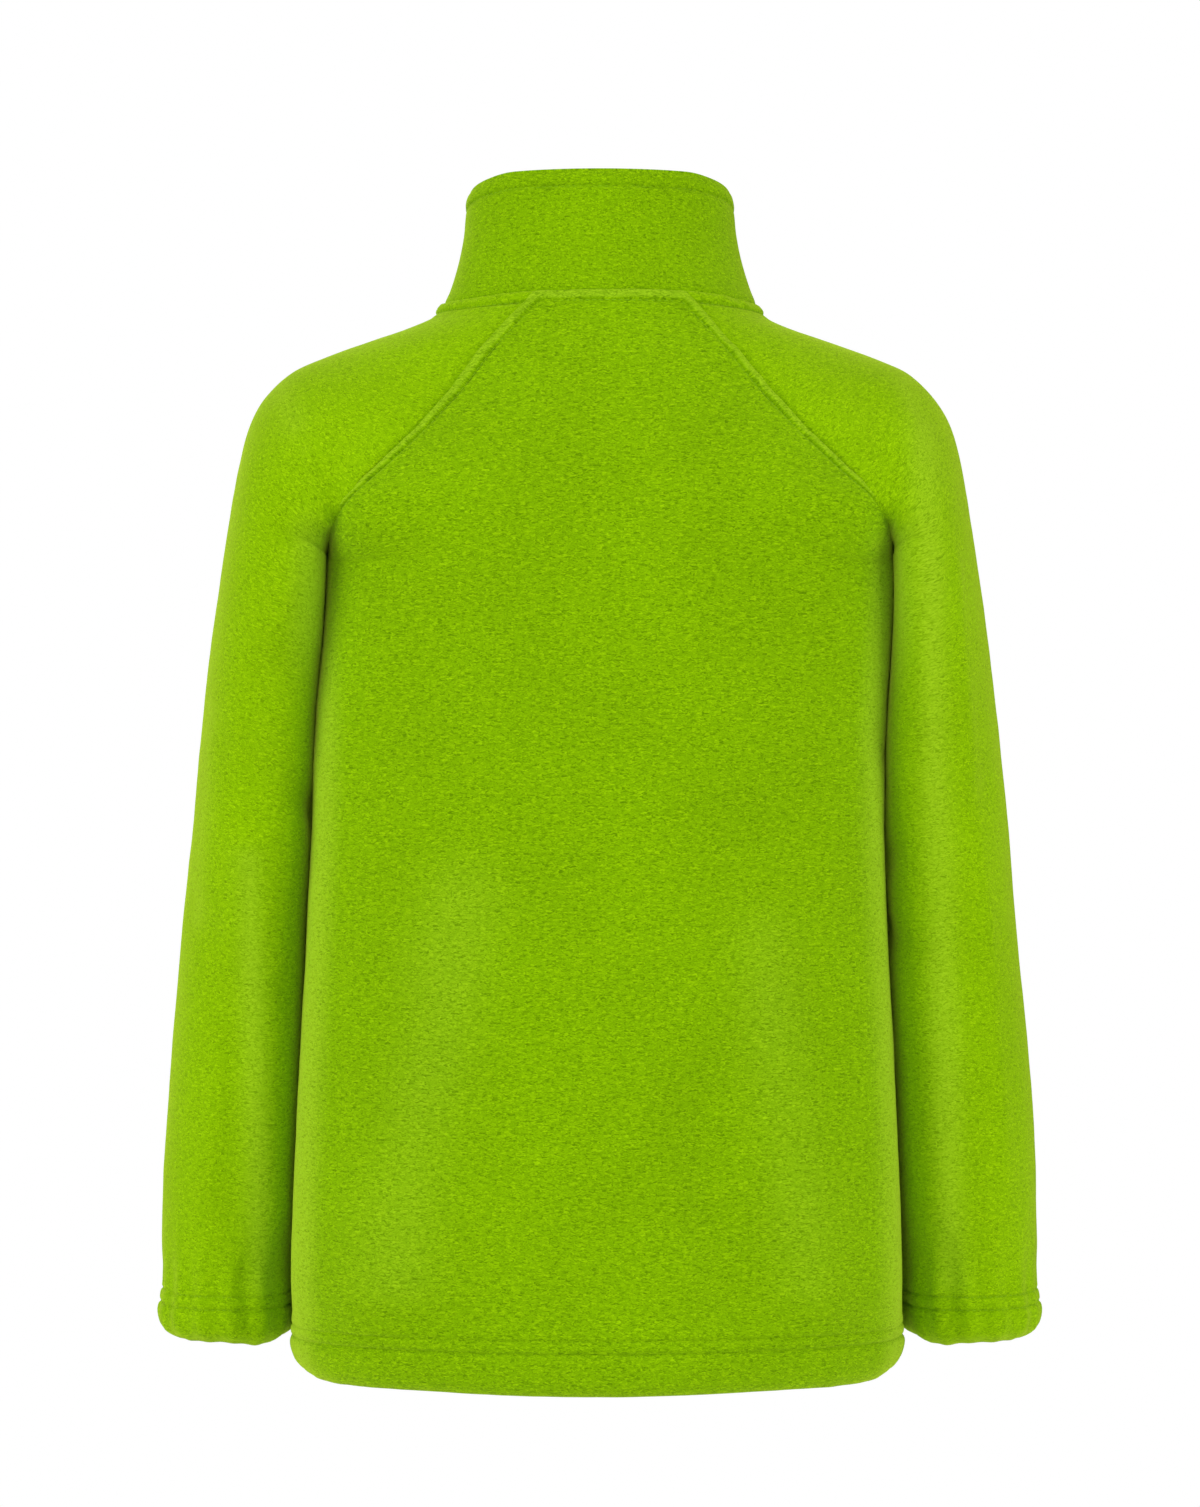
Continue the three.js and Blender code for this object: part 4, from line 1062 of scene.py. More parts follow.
    def stitch_lines(self) -> list[StitchLine]:
        """The panel's topstitching: beside the raglan seams, below the neck, on the hem and by the zip."""
        ends = (-1, 1) if self.side is None else (self.side.value,)
        lines = []
        for end in ends:
            g = spaced(0.05, 0.86, 0.01)
            across = end * (1 - STITCH_IN / self.form.half_length(g))
            lines.append(self.line(g, across, -0.1))
        first = -1.0 if self.side is None else min(0.0, float(self.side.value))
        last = 1.0 if self.side is None else max(0.0, float(self.side.value))
        for g0, low in ((STITCH_IN / YOKE_MM, -0.1), *((level(z, UNDERARM_Z), -0.1) for z in HEM_LINES)):
            start = float(self.form.share_at(np.array(g0), ZIP_HALF_GAP + 1))
            a = first * 0.99 if first < 0 else start
            b = last * 0.99 if last > 0 else -start
            across = np.linspace(a, b, 240)
            lines.append(self.line(np.full(across.shape, g0), across, low))
        if self.side is not None:
            g = np.concatenate([spaced(0.05, 1, 0.012), level(spaced(-123, -496, 2), UNDERARM_Z)])
            lines.append(self.line(g, self.side.value * self.form.share_at(g, ZIP_STITCH_X), -0.1))
        return lines

    def line(self, g: Array, across: Array, high: float) -> StitchLine:
        """A stitch line over the panel."""
        seam_in = (1 - np.abs(across)) * self.form.half_length(g)
        keep = (seam_in > 5.5) | (g > 1)
        g, across = g[keep], across[keep]
        return StitchLine(self.form.point(g, across, np.full(g.shape, high)), self.form.normal(g, across))

    def build(self) -> bpy.types.Object:
        """Makes the panel's shell."""
        return cloth_shell(self.name, *both_faces(self))


@dataclass
class Sleeve:
    """A raglan sleeve with its gathered cuff."""

    name: str
    node: str
    form: ArmForm
    plain_columns: int = 58
    waves: int = 15
    swell: float = 1.1

    def rows(self, fine: bool) -> Array:
        """The places of the rows from the neck to the fold of the cuff."""
        low = [-89, -100, -115, -135, -155, -180, -205, -230, -255, -280, -305, -330, -355, -380]
        low += [-405, -430, -452, -470, -484, -494, -503, -508.5, -511]
        lines = [z + d for z in CUFF_LINES for d in (-1.6, -1.1, -0.5, 0, 0.5, 1.1, 1.6)]
        cuff = merged(lines, spaced(-511, -476, 1.6), least=0.4)[::-1]
        return rows_down(fine, ARMPIT_Z, low, -474, cuff)

    def columns(self, g: Array, fine: bool) -> Array:
        """The places around each row, from the front seam to the back seam, or the other way round."""
        if not fine:
            share = np.linspace(-1, 1, 29)
            return np.broadcast_to(self.form.side.value * share, (len(g), len(share)))
        halves = []
        for face in (Face.FRONT, Face.BACK):
            length = self.form.half_length(g, face)[:, None]
            edge = 1 - np.array([6, 3.6, 2.2, 1.3, 0.6, 0.0])[None] / length
            plain = edge[:, :1] * np.arange(1, self.plain_columns)[None] / self.plain_columns
            halves.append(np.concatenate([plain, edge], axis=1))
        row = np.concatenate([-halves[0][:, ::-1], np.zeros((len(g), 1)), halves[1]], axis=1)
        return row if self.form.side is Side.LEFT else row[:, ::-1]

    def gathers(self, around: Array, z: Array) -> Array:
        """Soft uneven waves round the cuff, which wander a little down its height."""
        turn = around * math.pi + 0.05 * self.form.noise.at(around * 150, z, 30)
        uneven = 1 + 0.3 * np.cos(3 * turn + 1) + 0.2 * np.cos(5 * turn + 2.5)
        return self.swell * uneven * np.cos(self.waves * turn)

    def relief(self, g: Array, around: Array, laid: Array) -> tuple[Array, Array]:
        """The height of the outside over the plain cloth, and how deep in a stitch line it is."""
        noise = self.form.noise
        seam_in = (1 - np.abs(around)) * by_face(around >= 0, lambda face: self.form.half_length(g, face))
        u = laid[..., 0] / MM
        z = height(g, ARMPIT_Z)
        cuff = CUFF_RELIEF.high(z) * (0.5 + 0.5 * pucker(noise, u))
        cuff = cuff + CUFF_RELIEF.gather(z) * self.gathers(around, z)
        neck = neck_relief(g) * pucker(noise, u)
        high = np.where(g > 1, cuff, np.where(g < 0.09, neck, 0))
        tuck = mix(-0.35, -0.15, smooth(0.95, 1, g))
        seam = tuck * (1 - smooth(0, 2.6, seam_in)) * smooth(0.02, 0.06, g)
        calm = smooth(0, 9, seam_in) * smooth(0, 0.06, g) * (1 - 0.5 * smooth(4.8, 4.95, g))
        sunk = in_line(g * YOKE_MM - STITCH_IN)
        for line in CUFF_LINES:
            sunk = np.maximum(sunk, in_line(z - line))
        return high + seam + cloth_relief(noise, laid) * mix(0.2, 1, calm), sunk

    def pale(self, g: Array, around: Array, p: Array) -> Array:
        """How much light is painted on as a paler colour: in streaks, and beside the top of the slit to the
        body, where the slit shades it.
        """
        marks = [m.relief(p[..., 0], p[..., 2], self.form.noise) for m in PAINTED_LIGHT_STREAKS[self.form.side]]
        pale = np.maximum.reduce(marks) * smooth(0, 0.12, around)
        inmost = np.abs(p[..., 0]).min(axis=1, keepdims=True)
        beside = (1 - smooth(inmost + 3, inmost + 20, np.abs(p[..., 0]))) * smooth(10, 28, np.abs(p[..., 1]))
        span = smooth(0.86, 0.98, g) * (1 - smooth(-130, -190, height(g, ARMPIT_Z)))
        return np.clip(np.maximum(pale, 0.6 * beside * span[:, None]), 0, 1)

    def build(self) -> bpy.types.Object:
        """Makes the sleeve's shell."""
        return cloth_shell(self.name, *both_faces(self), open_down_to=1.0)

    def stitch_lines(self) -> list[StitchLine]:
        """The topstitching of the sleeve: below the neck and round the cuff."""
        lines = []
        g = np.full(90, STITCH_IN / YOKE_MM)
        ends = 1 - 4 / self.form.half_length(g[:1], Face.BACK)[0]
        lines.append(self.line(g, np.linspace(-ends, ends, 90), -0.1))
        for z in CUFF_LINES:
            around = np.linspace(-1, 1, 241)
            lines.append(self.line(np.full(241, level(z, ARMPIT_Z)), around, 0.1))
        return lines

    def line(self, g: Array, around: Array, high: float) -> StitchLine:
        """A stitch line over the sleeve."""
        z = height(g, ARMPIT_Z)
        wave = np.where(g > 1, CUFF_RELIEF.gather(z) * self.gathers(around, z), 0)
        depth = np.where(g > 1, CUFF_RELIEF.high(z), 0)
        return StitchLine(self.form.point(g, around, high + wave + depth), self.form.normal(g, around))


def neck_point(angle: Array) -> Array:
    """Points of the neck seam, by their angle from the centre back, the wearer's left above 0."""
    side = np.where(angle < 0, -1.0, 1.0)
    a = np.abs(angle)
    back, front = YOKE[Face.BACK], YOKE[Face.FRONT]
    back_end, front_end = float(back.side(0)), float(front.side(0))
    zero = np.zeros(a.shape)
    on_back = TRUNKS[Face.BACK].base(zero, side * np.minimum(a / back_end, 1))
    on_front = TRUNKS[Face.FRONT].base(zero, side * np.minimum((180 - a) / front_end, 1))
    turn = 90 - a
    around = np.clip(np.where(turn > 0, turn / back.turn(0), turn / front.turn(0)), -1, 1)
    on_arm = np.where(
        (side > 0)[..., None], ARMS[Side.LEFT].base(zero, around), ARMS[Side.RIGHT].base(zero, around)
    )
    p = np.where((a <= back_end)[..., None], on_back, on_arm)
    return np.where((a >= 180 - front_end)[..., None], on_front, p)


def collar_point(angle: Array, at: Array, high: Array | float) -> Array:
    """Points of the collar's outside, by angle and share of its height, moved out by a height."""
    angle, at = np.broadcast_arrays(np.asarray(angle, float), np.asarray(at, float))
    foot = neck_point(angle)
    t = np.radians(angle)
    out = unit(points(np.sin(t) / NECK_HALF_WIDTH, np.cos(t) / NECK_HALF_DEPTH, 0))
    k = COLLAR_TAPER.k(at)
    moved = foot[..., 0] - NECK_HALF_WIDTH * np.sin(t)
    p = points(
        NECK_HALF_WIDTH * k * np.sin(t) + moved * (1 - smooth(0, 0.7, at)),
        NECK_HALF_DEPTH * k * np.cos(t),
        mix(foot[..., 2] + COLLAR_LIFT, COLLAR_TOP.z(np.abs(angle)), at),
    )
    return p + out * np.asarray(high)[..., None]


@dataclass
class Collar:
    """The stand collar of doubled fleece, turned over at the top and open at the zip."""

    name: str = "cloth_collar"
    node: str = "collar"
    columns: int = 200
    groove: float = 0.872
    noise: Unevenness = field(default_factory=lambda: Unevenness(31))

    def angles(self, at: Array, fine: bool) -> Array:
        """The angles of each row's points, from the wearer's left edge of the zip to the right one."""
        end = 180 - np.degrees(np.arcsin(ZIP_HALF_GAP / (NECK_HALF_WIDTH * COLLAR_TAPER.k(at))))
        if not fine:
            share = np.linspace(1, -1, 45)
        else:
            plain = np.linspace(1, -1, self.columns)
            near = 1 - np.array([0.0015, 0.0035, 0.007, 0.012, 0.024, 0.028, 0.034, 0.039])
            share = np.sort(np.concatenate([plain, near, -near]))[::-1]
        return end[:, None] * share[None]

    def build(self) -> bpy.types.Object:
        """Makes the collar's shell, from its top fold down to the neck seam."""
        turned = np.array([[1, -1.8, 1.0], [1, -1.35, 0.92], [1, -0.95, 0.7], [1, -0.72, 0.36]])
        lines = [self.groove + d for d in (-0.024, -0.016, -0.008, 0, 0.008, 0.016, 0.024)]
        at = merged(lines, spaced(0, 1, 0.026), least=0.006)[::-1]
        rows = np.concatenate([turned[:, 0], at])
        angle = self.angles(rows, True)
        place = np.broadcast_to(rows[:, None], angle.shape)
        laid = laid_out(collar_point(angle, place, 0))
        along = laid[..., 0] / MM
        high = COLLAR_RELIEF.high(place) * np.where(place > 0.8, pucker(self.noise, along), 1)
        edge_mm = (np.radians(1) * 68) * (np.abs(angle[:, :1]) - np.abs(angle))
        high = high + np.where(place < 0.86, 0.9 * ZIP_EDGE_RELIEF.high(edge_mm + 6.5), 0)
        calm = smooth(0, 0.1, place) * (1 - smooth(0.8, 0.9, place)) * smooth(0, 12, edge_mm)
        high = high + cloth_relief(self.noise, laid) * mix(0.25, 0.8, calm)
        lift = np.zeros(high.shape)
        high[: len(turned)] = turned[:, 1:2]
        lift[: len(turned)] = turned[:, 2:3]
        p = collar_point(angle, place, high)
        p[..., 2] += lift
        sunk = in_line(place - self.groove, 0.011)
        sunk = np.maximum(sunk, in_line(edge_mm - 7.1) * (place < self.groove))
        keys = np.concatenate([np.linspace(-0.004, -0.001, len(turned)), 1 - at])
        outer = Grid(keys, p, laid, sunk)
        inside = np.array([1, 0.93, 0.8, 0.6, 0.4, 0.25, 0.1, 0])
        angle = self.angles(inside, False)
        place = np.broadcast_to(inside[:, None], angle.shape)
        depth = -COLLAR_MM + np.where(place > 0.99, 0.7, 0)
        p = collar_point(angle, place, depth)
        inner = Grid(1 - inside, p, laid_out(p), np.zeros(angle.shape))
        return cloth_shell(self.name, outer, inner)

    def stitch_lines(self) -> list[StitchLine]:
        """The topstitching below the collar's top fold and beside the zip."""
        end = float(self.angles(np.array([self.groove]), True)[0, 0])
        angle = np.linspace(end - 3, -end + 3, 300)
        lines = [self.line(angle, np.full(300, self.groove), -0.55)]
        for side in (1, -1):
            at = np.linspace(0.02, self.groove, 30)
            edge = np.degrees(np.arcsin(ZIP_HALF_GAP / (NECK_HALF_WIDTH * COLLAR_TAPER.k(at))))
            lines.append(self.line(side * (180 - edge - 6), at, -0.1))
        return lines

    def line(self, angle: Array, at: Array, high: float) -> StitchLine:
        """A stitch line over the collar."""
        t = np.radians(angle)
        out = unit(points(np.sin(t) / NECK_HALF_WIDTH, np.cos(t) / NECK_HALF_DEPTH, 0))
        return StitchLine(collar_point(angle, at, np.full(np.shape(at), high)), out)


# ---- materials

PILE_SHEEN = "#DCF24A"  # the pale yellow green that dyed fibres take on where they are seen edge on


def linear(colour: str) -> tuple[float, float, float, float]:
    """Turns an sRGB hex colour into linear light."""
    parts = [int(colour[i : i + 2], 16) / 255 for i in (1, 3, 5)]
    r, g, b = (p / 12.92 if p <= 0.04045 else ((p + 0.055) / 1.055) ** 2.4 for p in parts)
    return r, g, b, 1.0


def add(
    tree: bpy.types.NodeTree, kind: str, settings: dict[Any, Any] | None = None, **links: Any
) -> bpy.types.Node:
    """Adds a node with its settings and links.

    Args:
        tree: the node tree.
        kind: the node's type.
        settings: properties of the node by name, and values of its inputs by name or number.
        links: outputs to link, by the name of the input with underscores for spaces, or in0, in1 and so on.

    Returns:
        The node.
    """
    made = tree.nodes.new(kind)
    for key, value in (settings or {}).items():
        if isinstance(key, str) and key[0].islower() and hasattr(made, key):
            setattr(made, key, value)
        else:
            made.inputs[key].default_value = value
    for key, output in links.items():
        name: Any = int(key[2:]) if key[:2] == "in" and key[2:].isdigit() else key.replace("_", " ")
        tree.links.new(output, made.inputs[name])
    return made


def start_material(name: str) -> tuple[bpy.types.Material, bpy.types.NodeTree, bpy.types.Node]:
    """Makes a material with an empty tree and its output."""
    material = bpy.data.materials.new(name)
    material.use_nodes = True
    tree = material.node_tree
    tree.nodes.clear()
    return material, tree, add(tree, "ShaderNodeOutputMaterial")


@dataclass(frozen=True)
class BrushedFleece:
    """Polyester micro-fleece, brushed and sheared: a matt pile of short wavy tufts with a pale sheen."""

    name: str
    tuft_mm: tuple[float, float] = (2.3, 0.85)  # width and height of a tuft on the cloth
    wander: float = 1.1
    pits: str = "#598300"
    body: str = "#79A900"
    tips: str = "#99C804"
    painted_highlight: str = "#9CC620"  # the colour of the painted light, where the cloth is marked for it
    relief_mm: float = 0.5

    def material(self) -> bpy.types.Material:
        """Builds the finish on the cloth's own flat places."""
        made, tree, out = start_material(self.name)
        laid = add(tree, "ShaderNodeUVMap", {"uv_map": "laid"}).outputs[0]
        wide, tall = self.tuft_mm
        scaled = add(
            tree, "ShaderNodeMapping", {"Scale": (1 / (wide * MM), 1 / (tall * MM), 1)}, Vector=laid
        ).outputs[0]
        # The brush leaves the pile in short wavy tufts, longer across the cloth than along it.
        tufts = add(
            tree,
            "ShaderNodeTexNoise",
            {
                "noise_dimensions": "2D",
                "Scale": 1.0,
                "Detail": 1.5,
                "Roughness": 0.5,
                "Distortion": self.wander,
            },
            Vector=scaled,
        ).outputs["Fac"]
        fine = add(
            tree, "ShaderNodeTexNoise", {"noise_dimensions": "2D", "Scale": 2.7, "Detail": 1.0}, Vector=scaled
        ).outputs["Fac"]
        nap = add(
            tree,
            "ShaderNodeTexNoise",
            {"noise_dimensions": "2D", "Scale": 17.0, "Detail": 2.0, "Roughness": 0.5},
            Vector=laid,
        ).outputs["Fac"]
        pile = add(tree, "ShaderNodeMix", {"data_type": "FLOAT", 0: 0.25}, in2=tufts, in3=fine).outputs[0]
        # The tufts' colour runs from the pits to the tips: the pile's own grain, with painted shade in the
        # pits and painted light on the tips.
        ramp = add(tree, "ShaderNodeValToRGB", Fac=pile)
        stops = ramp.color_ramp.elements
        stops[0].position, stops[0].color = 0.3, linear(self.pits)
        stops[1].position, stops[1].color = 0.72, linear(self.tips)
        stops.new(0.5).color = linear(self.body)
        patch = add(
            tree,
            "ShaderNodeMapRange",
            {"From Min": 0.3, "From Max": 0.7, "To Min": 0.965, "To Max": 1.035},
            Value=nap,
        ).outputs[0]
        toned = add(
            tree, "ShaderNodeVectorMath", {"operation": "SCALE"}, in0=ramp.outputs[0], Scale=patch
        ).outputs[0]
        # Painted light: where the cloth is marked for it, it turns towards a paler colour in flecks between
        # the tufts.
        pale = add(tree, "ShaderNodeAttribute", {"attribute_name": "pale"}).outputs["Fac"]
        fleck = add(
            tree,
            "ShaderNodeMapRange",
            {"From Min": 0.36, "From Max": 0.62, "To Min": 0.3, "To Max": 1.25},
            Value=pile,
        ).outputs[0]
        painted_highlight = add(tree, "ShaderNodeMath", {"operation": "MULTIPLY"}, in0=pale, in1=fleck).outputs[0]
        toned = add(
            tree, "ShaderNodeMix", {"data_type": "RGBA", 7: linear(self.painted_highlight)}, in0=painted_highlight, in6=toned
        ).outputs[2]
        # Painted shade: the cloth is a little darker in its stitch lines.
        sunk = add(tree, "ShaderNodeAttribute", {"attribute_name": "sunk"}).outputs["Fac"]
        shade = add(
            tree, "ShaderNodeMapRange", {"To Min": 1.0, "To Max": 0.9}, Value=sunk
        ).outputs[0]
        colour = add(tree, "ShaderNodeVectorMath", {"operation": "SCALE"}, in0=toned, Scale=shade).outputs[0]
        bump = add(tree, "ShaderNodeBump", {"Strength": 0.8, "Distance": self.relief_mm * MM}, Height=pile)
        shader = add(
            tree,
            "ShaderNodeBsdfPrincipled",
            {
                "Roughness": 0.95,
                "Specular IOR Level": 0.03,
                "Sheen Weight": 0.65,
                "Sheen Roughness": 0.42,
                "Sheen Tint": linear(PILE_SHEEN),
            },
            Base_Color=colour,
            Normal=bump.outputs[0],
        )
        tree.links.new(shader.outputs[0], out.inputs[0])
        return made


@dataclass(frozen=True)
class WovenTape:
    """Woven polyester zip tape, dyed to the fleece: a flat twill with fine ribs along it."""

    name: str = "woven_polyester_tape"
    colour: str = "#7DAA14"
    rib_mm: float = 0.9  # drawn about twice as coarse as the real 0.45 mm, so that it shows

    def material(self) -> bpy.types.Material:
        """Builds the finish on the tape's own flat places."""
        made, tree, out = start_material(self.name)
        laid = add(tree, "ShaderNodeUVMap", {"uv_map": "laid"}).outputs[0]
        ribs = add(
            tree,
            "ShaderNodeTexWave",
            {
                "bands_direction": "DIAGONAL",
                "Scale": 0.314 / (self.rib_mm * MM),
                "Distortion": 0.4,
                "Detail": 1.0,
            },
            Vector=laid,
        ).outputs["Fac"]
        tint = add(tree, "ShaderNodeMapRange", {"To Min": 0.82, "To Max": 1.08}, Value=ribs).outputs[0]
        colour = add(
            tree, "ShaderNodeVectorMath", {"operation": "SCALE", 0: linear(self.colour)[:3]}, Scale=tint
        ).outputs[0]
        bump = add(tree, "ShaderNodeBump", {"Strength": 0.6, "Distance": 0.15 * MM}, Height=ribs)
        shader = add(
            tree,
            "ShaderNodeBsdfPrincipled",
            {
                "Roughness": 0.8,
                "Specular IOR Level": 0.08,
                "Sheen Weight": 0.2,
                "Sheen Tint": linear(PILE_SHEEN),
            },
            Base_Color=colour,
            Normal=bump.outputs[0],
        )
        tree.links.new(shader.outputs[0], out.inputs[0])
        return made


@dataclass(frozen=True)
class SpunThread:
    """Spun polyester sewing thread, dyed to the cloth: matt, with a twist that shows as fine stripes."""

    name: str = "spun_polyester_thread"
    colour: str = "#86B808"

    def material(self) -> bpy.types.Material:
        """Builds the finish."""
        made, tree, out = start_material(self.name)
        place = add(tree, "ShaderNodeTexCoord").outputs["Object"]
        grain = add(
            tree, "ShaderNodeTexNoise", {"Scale": 1 / (0.5 * MM), "Detail": 1.0}, Vector=place
        ).outputs["Fac"]
        tint = add(tree, "ShaderNodeMapRange", {"To Min": 0.8, "To Max": 1.15}, Value=grain).outputs[0]
        colour = add(
            tree, "ShaderNodeVectorMath", {"operation": "SCALE", 0: linear(self.colour)[:3]}, Scale=tint
        ).outputs[0]
        shader = add(
            tree,
            "ShaderNodeBsdfPrincipled",
            {
                "Roughness": 0.7,
                "Specular IOR Level": 0.15,
                "Sheen Weight": 0.2,
                "Sheen Tint": linear(PILE_SHEEN),
            },
            Base_Color=colour,
        )
        tree.links.new(shader.outputs[0], out.inputs[0])
        return made


@dataclass(frozen=True)
class MouldedAcetal:
    """Injection-moulded acetal, dyed through: a satin plastic with faint flow marks."""

    name: str = "moulded_acetal"
    colour: str = "#86B811"
    roughness: float = 0.38

    def material(self) -> bpy.types.Material:
        """Builds the finish."""
        made, tree, out = start_material(self.name)
        place = add(tree, "ShaderNodeTexCoord").outputs["Object"]
        cloud = add(
            tree, "ShaderNodeTexNoise", {"Scale": 1 / (2.5 * MM), "Detail": 2.0}, Vector=place
        ).outputs["Fac"]
        tint = add(tree, "ShaderNodeMapRange", {"To Min": 0.93, "To Max": 1.06}, Value=cloud).outputs[0]
        rough = add(
            tree,
            "ShaderNodeMapRange",
            {"To Min": self.roughness - 0.06, "To Max": self.roughness + 0.08},
            Value=cloud,
        ).outputs[0]
        colour = add(
            tree, "ShaderNodeVectorMath", {"operation": "SCALE", 0: linear(self.colour)[:3]}, Scale=tint
        ).outputs[0]
        bump = add(tree, "ShaderNodeBump", {"Strength": 0.25, "Distance": 0.05 * MM}, Height=cloud)
        shader = add(
            tree, "ShaderNodeBsdfPrincipled", {"IOR": 1.48},
            Base_Color=colour, Roughness=rough, Normal=bump.outputs[0],
        )
        tree.links.new(shader.outputs[0], out.inputs[0])
        return made


@dataclass(frozen=True)
class LacqueredZinc:
    """Die-cast zinc under a dyed lacquer: smooth, rather glossy, with paler wear in places."""

    name: str = "lacquered_zinc"
    colour: str = "#7FB20C"
    wear_and_crest_light: str = "#A5C84A"

    def material(self) -> bpy.types.Material:
        """Builds the finish."""
        made, tree, out = start_material(self.name)
        place = add(tree, "ShaderNodeTexCoord").outputs["Object"]
        cloud = add(
            tree,
            "ShaderNodeTexNoise",
            {"Scale": 1 / (4 * MM), "Detail": 4.0, "Roughness": 0.65},
            Vector=place,
        ).outputs["Fac"]
        wear = add(
            tree, "ShaderNodeMapRange", {"From Min": 0.56, "From Max": 0.75, "To Max": 0.6}, Value=cloud
        ).outputs[0]
        colour = add(
            tree,
            "ShaderNodeMix",
            {"data_type": "RGBA", 6: linear(self.colour), 7: linear(self.wear_and_crest_light)},
            in0=wear,
        ).outputs[2]
        rough = add(tree, "ShaderNodeMapRange", {"To Min": 0.24, "To Max": 0.42}, Value=cloud).outputs[0]
        bump = add(tree, "ShaderNodeBump", {"Strength": 0.2, "Distance": 0.05 * MM}, Height=cloud)
        shader = add(
            tree,
            "ShaderNodeBsdfPrincipled",
            {"Coat Weight": 0.4, "Coat Roughness": 0.15},
            Base_Color=colour,
            Roughness=rough,
            Normal=bump.outputs[0],
        )
        tree.links.new(shader.outputs[0], out.inputs[0])
        return made


@dataclass(frozen=True)
class StudioFloor:
    """A plain pale studio floor, matt paper over board."""

    name: str = "studio_paper"
    colour: str = "#F1F1EE"

    def material(self) -> bpy.types.Material:
        """Builds the finish."""
        made, tree, out = start_material(self.name)
        shader = add(
            tree, "ShaderNodeBsdfPrincipled", {"Base Color": linear(self.colour), "Roughness": 0.9}
        )
        tree.links.new(shader.outputs[0], out.inputs[0])
        return made


# ---- what repeats along a line


def run_tree() -> bpy.types.NodeTree:
    """Builds the tree that sets one part again and again along a line, such as stitches or zip teeth."""
    tree = bpy.data.node_groups.new("parts_along_a_line", "GeometryNodeTree")
    face = tree.interface
    face.new_socket("Line", in_out="INPUT", socket_type="NodeSocketGeometry")
    face.new_socket("Part", in_out="INPUT", socket_type="NodeSocketObject")
    face.new_socket("Pitch", in_out="INPUT", socket_type="NodeSocketFloat")
    face.new_socket("Turned about", in_out="INPUT", socket_type="NodeSocketBool")
    face.new_socket("Unevenness", in_out="INPUT", socket_type="NodeSocketFloat")
    face.new_socket("Seed", in_out="INPUT", socket_type="NodeSocketInt")
    face.new_socket("Finish", in_out="INPUT", socket_type="NodeSocketMaterial")
    face.new_socket("Run", in_out="OUTPUT", socket_type="NodeSocketGeometry")
    given = add(tree, "NodeGroupInput").outputs
    line = add(tree, "GeometryNodeMeshToCurve", Mesh=given["Line"]).outputs[0]
    even = add(
        tree, "GeometryNodeResampleCurve", {"mode": "LENGTH"}, Curve=line, Length=given["Pitch"]
    ).outputs[0]
    part = add(tree, "GeometryNodeObjectInfo", {"As Instance": False}, Object=given["Part"])
    part = part.outputs["Geometry"]
    tangent = add(tree, "GeometryNodeInputTangent").outputs[0]
    out = add(tree, "GeometryNodeInputNamedAttribute", {"data_type": "FLOAT_VECTOR", "Name": "out"})
    out = out.outputs[0]
    along = add(tree, "FunctionNodeAlignRotationToVector", {"axis": "X"}, Vector=tangent).outputs[0]
    upright = add(
        tree,
        "FunctionNodeAlignRotationToVector",
        {"axis": "Z", "pivot_axis": "X"},
        Rotation=along,
        Vector=out,
    ).outputs[0]
    index = add(tree, "GeometryNodeInputIndex").outputs[0]
    odd = add(tree, "ShaderNodeMath", {"operation": "MODULO", 1: 2.0}, in0=index).outputs[0]
    both = add(tree, "ShaderNodeMath", {"operation": "MULTIPLY"}, in0=odd, in1=given["Turned about"])
    both = both.outputs[0]
    half_turn = add(tree, "ShaderNodeMath", {"operation": "MULTIPLY", 1: math.pi}, in0=both).outputs[0]
    loose = add(tree, "FunctionNodeRandomValue", {"data_type": "FLOAT", 2: -1.0, 3: 1.0}, Seed=given["Seed"])
    sway = add(
        tree, "ShaderNodeMath", {"operation": "MULTIPLY"}, in0=loose.outputs[1], in1=given["Unevenness"]
    ).outputs[0]
    turn = add(tree, "ShaderNodeMath", {"operation": "ADD"}, in0=half_turn, in1=sway).outputs[0]
    about = add(tree, "ShaderNodeCombineXYZ", Z=turn).outputs[0]
    about_turn = add(tree, "FunctionNodeEulerToRotation", in0=about).outputs[0]
    placed = add(
        tree, "FunctionNodeRotateRotation", {"rotation_space": "LOCAL"}, Rotation=upright, in1=about_turn
    ).outputs[0]
    copies = add(
        tree, "GeometryNodeInstanceOnPoints", Points=even, Instance=part, Rotation=placed
    ).outputs[0]
    real = add(tree, "GeometryNodeRealizeInstances", in0=copies).outputs[0]
    finished = add(tree, "GeometryNodeSetMaterial", Geometry=real, Material=given["Finish"]).outputs[0]
    add(tree, "NodeGroupOutput", in0=finished)
    return tree


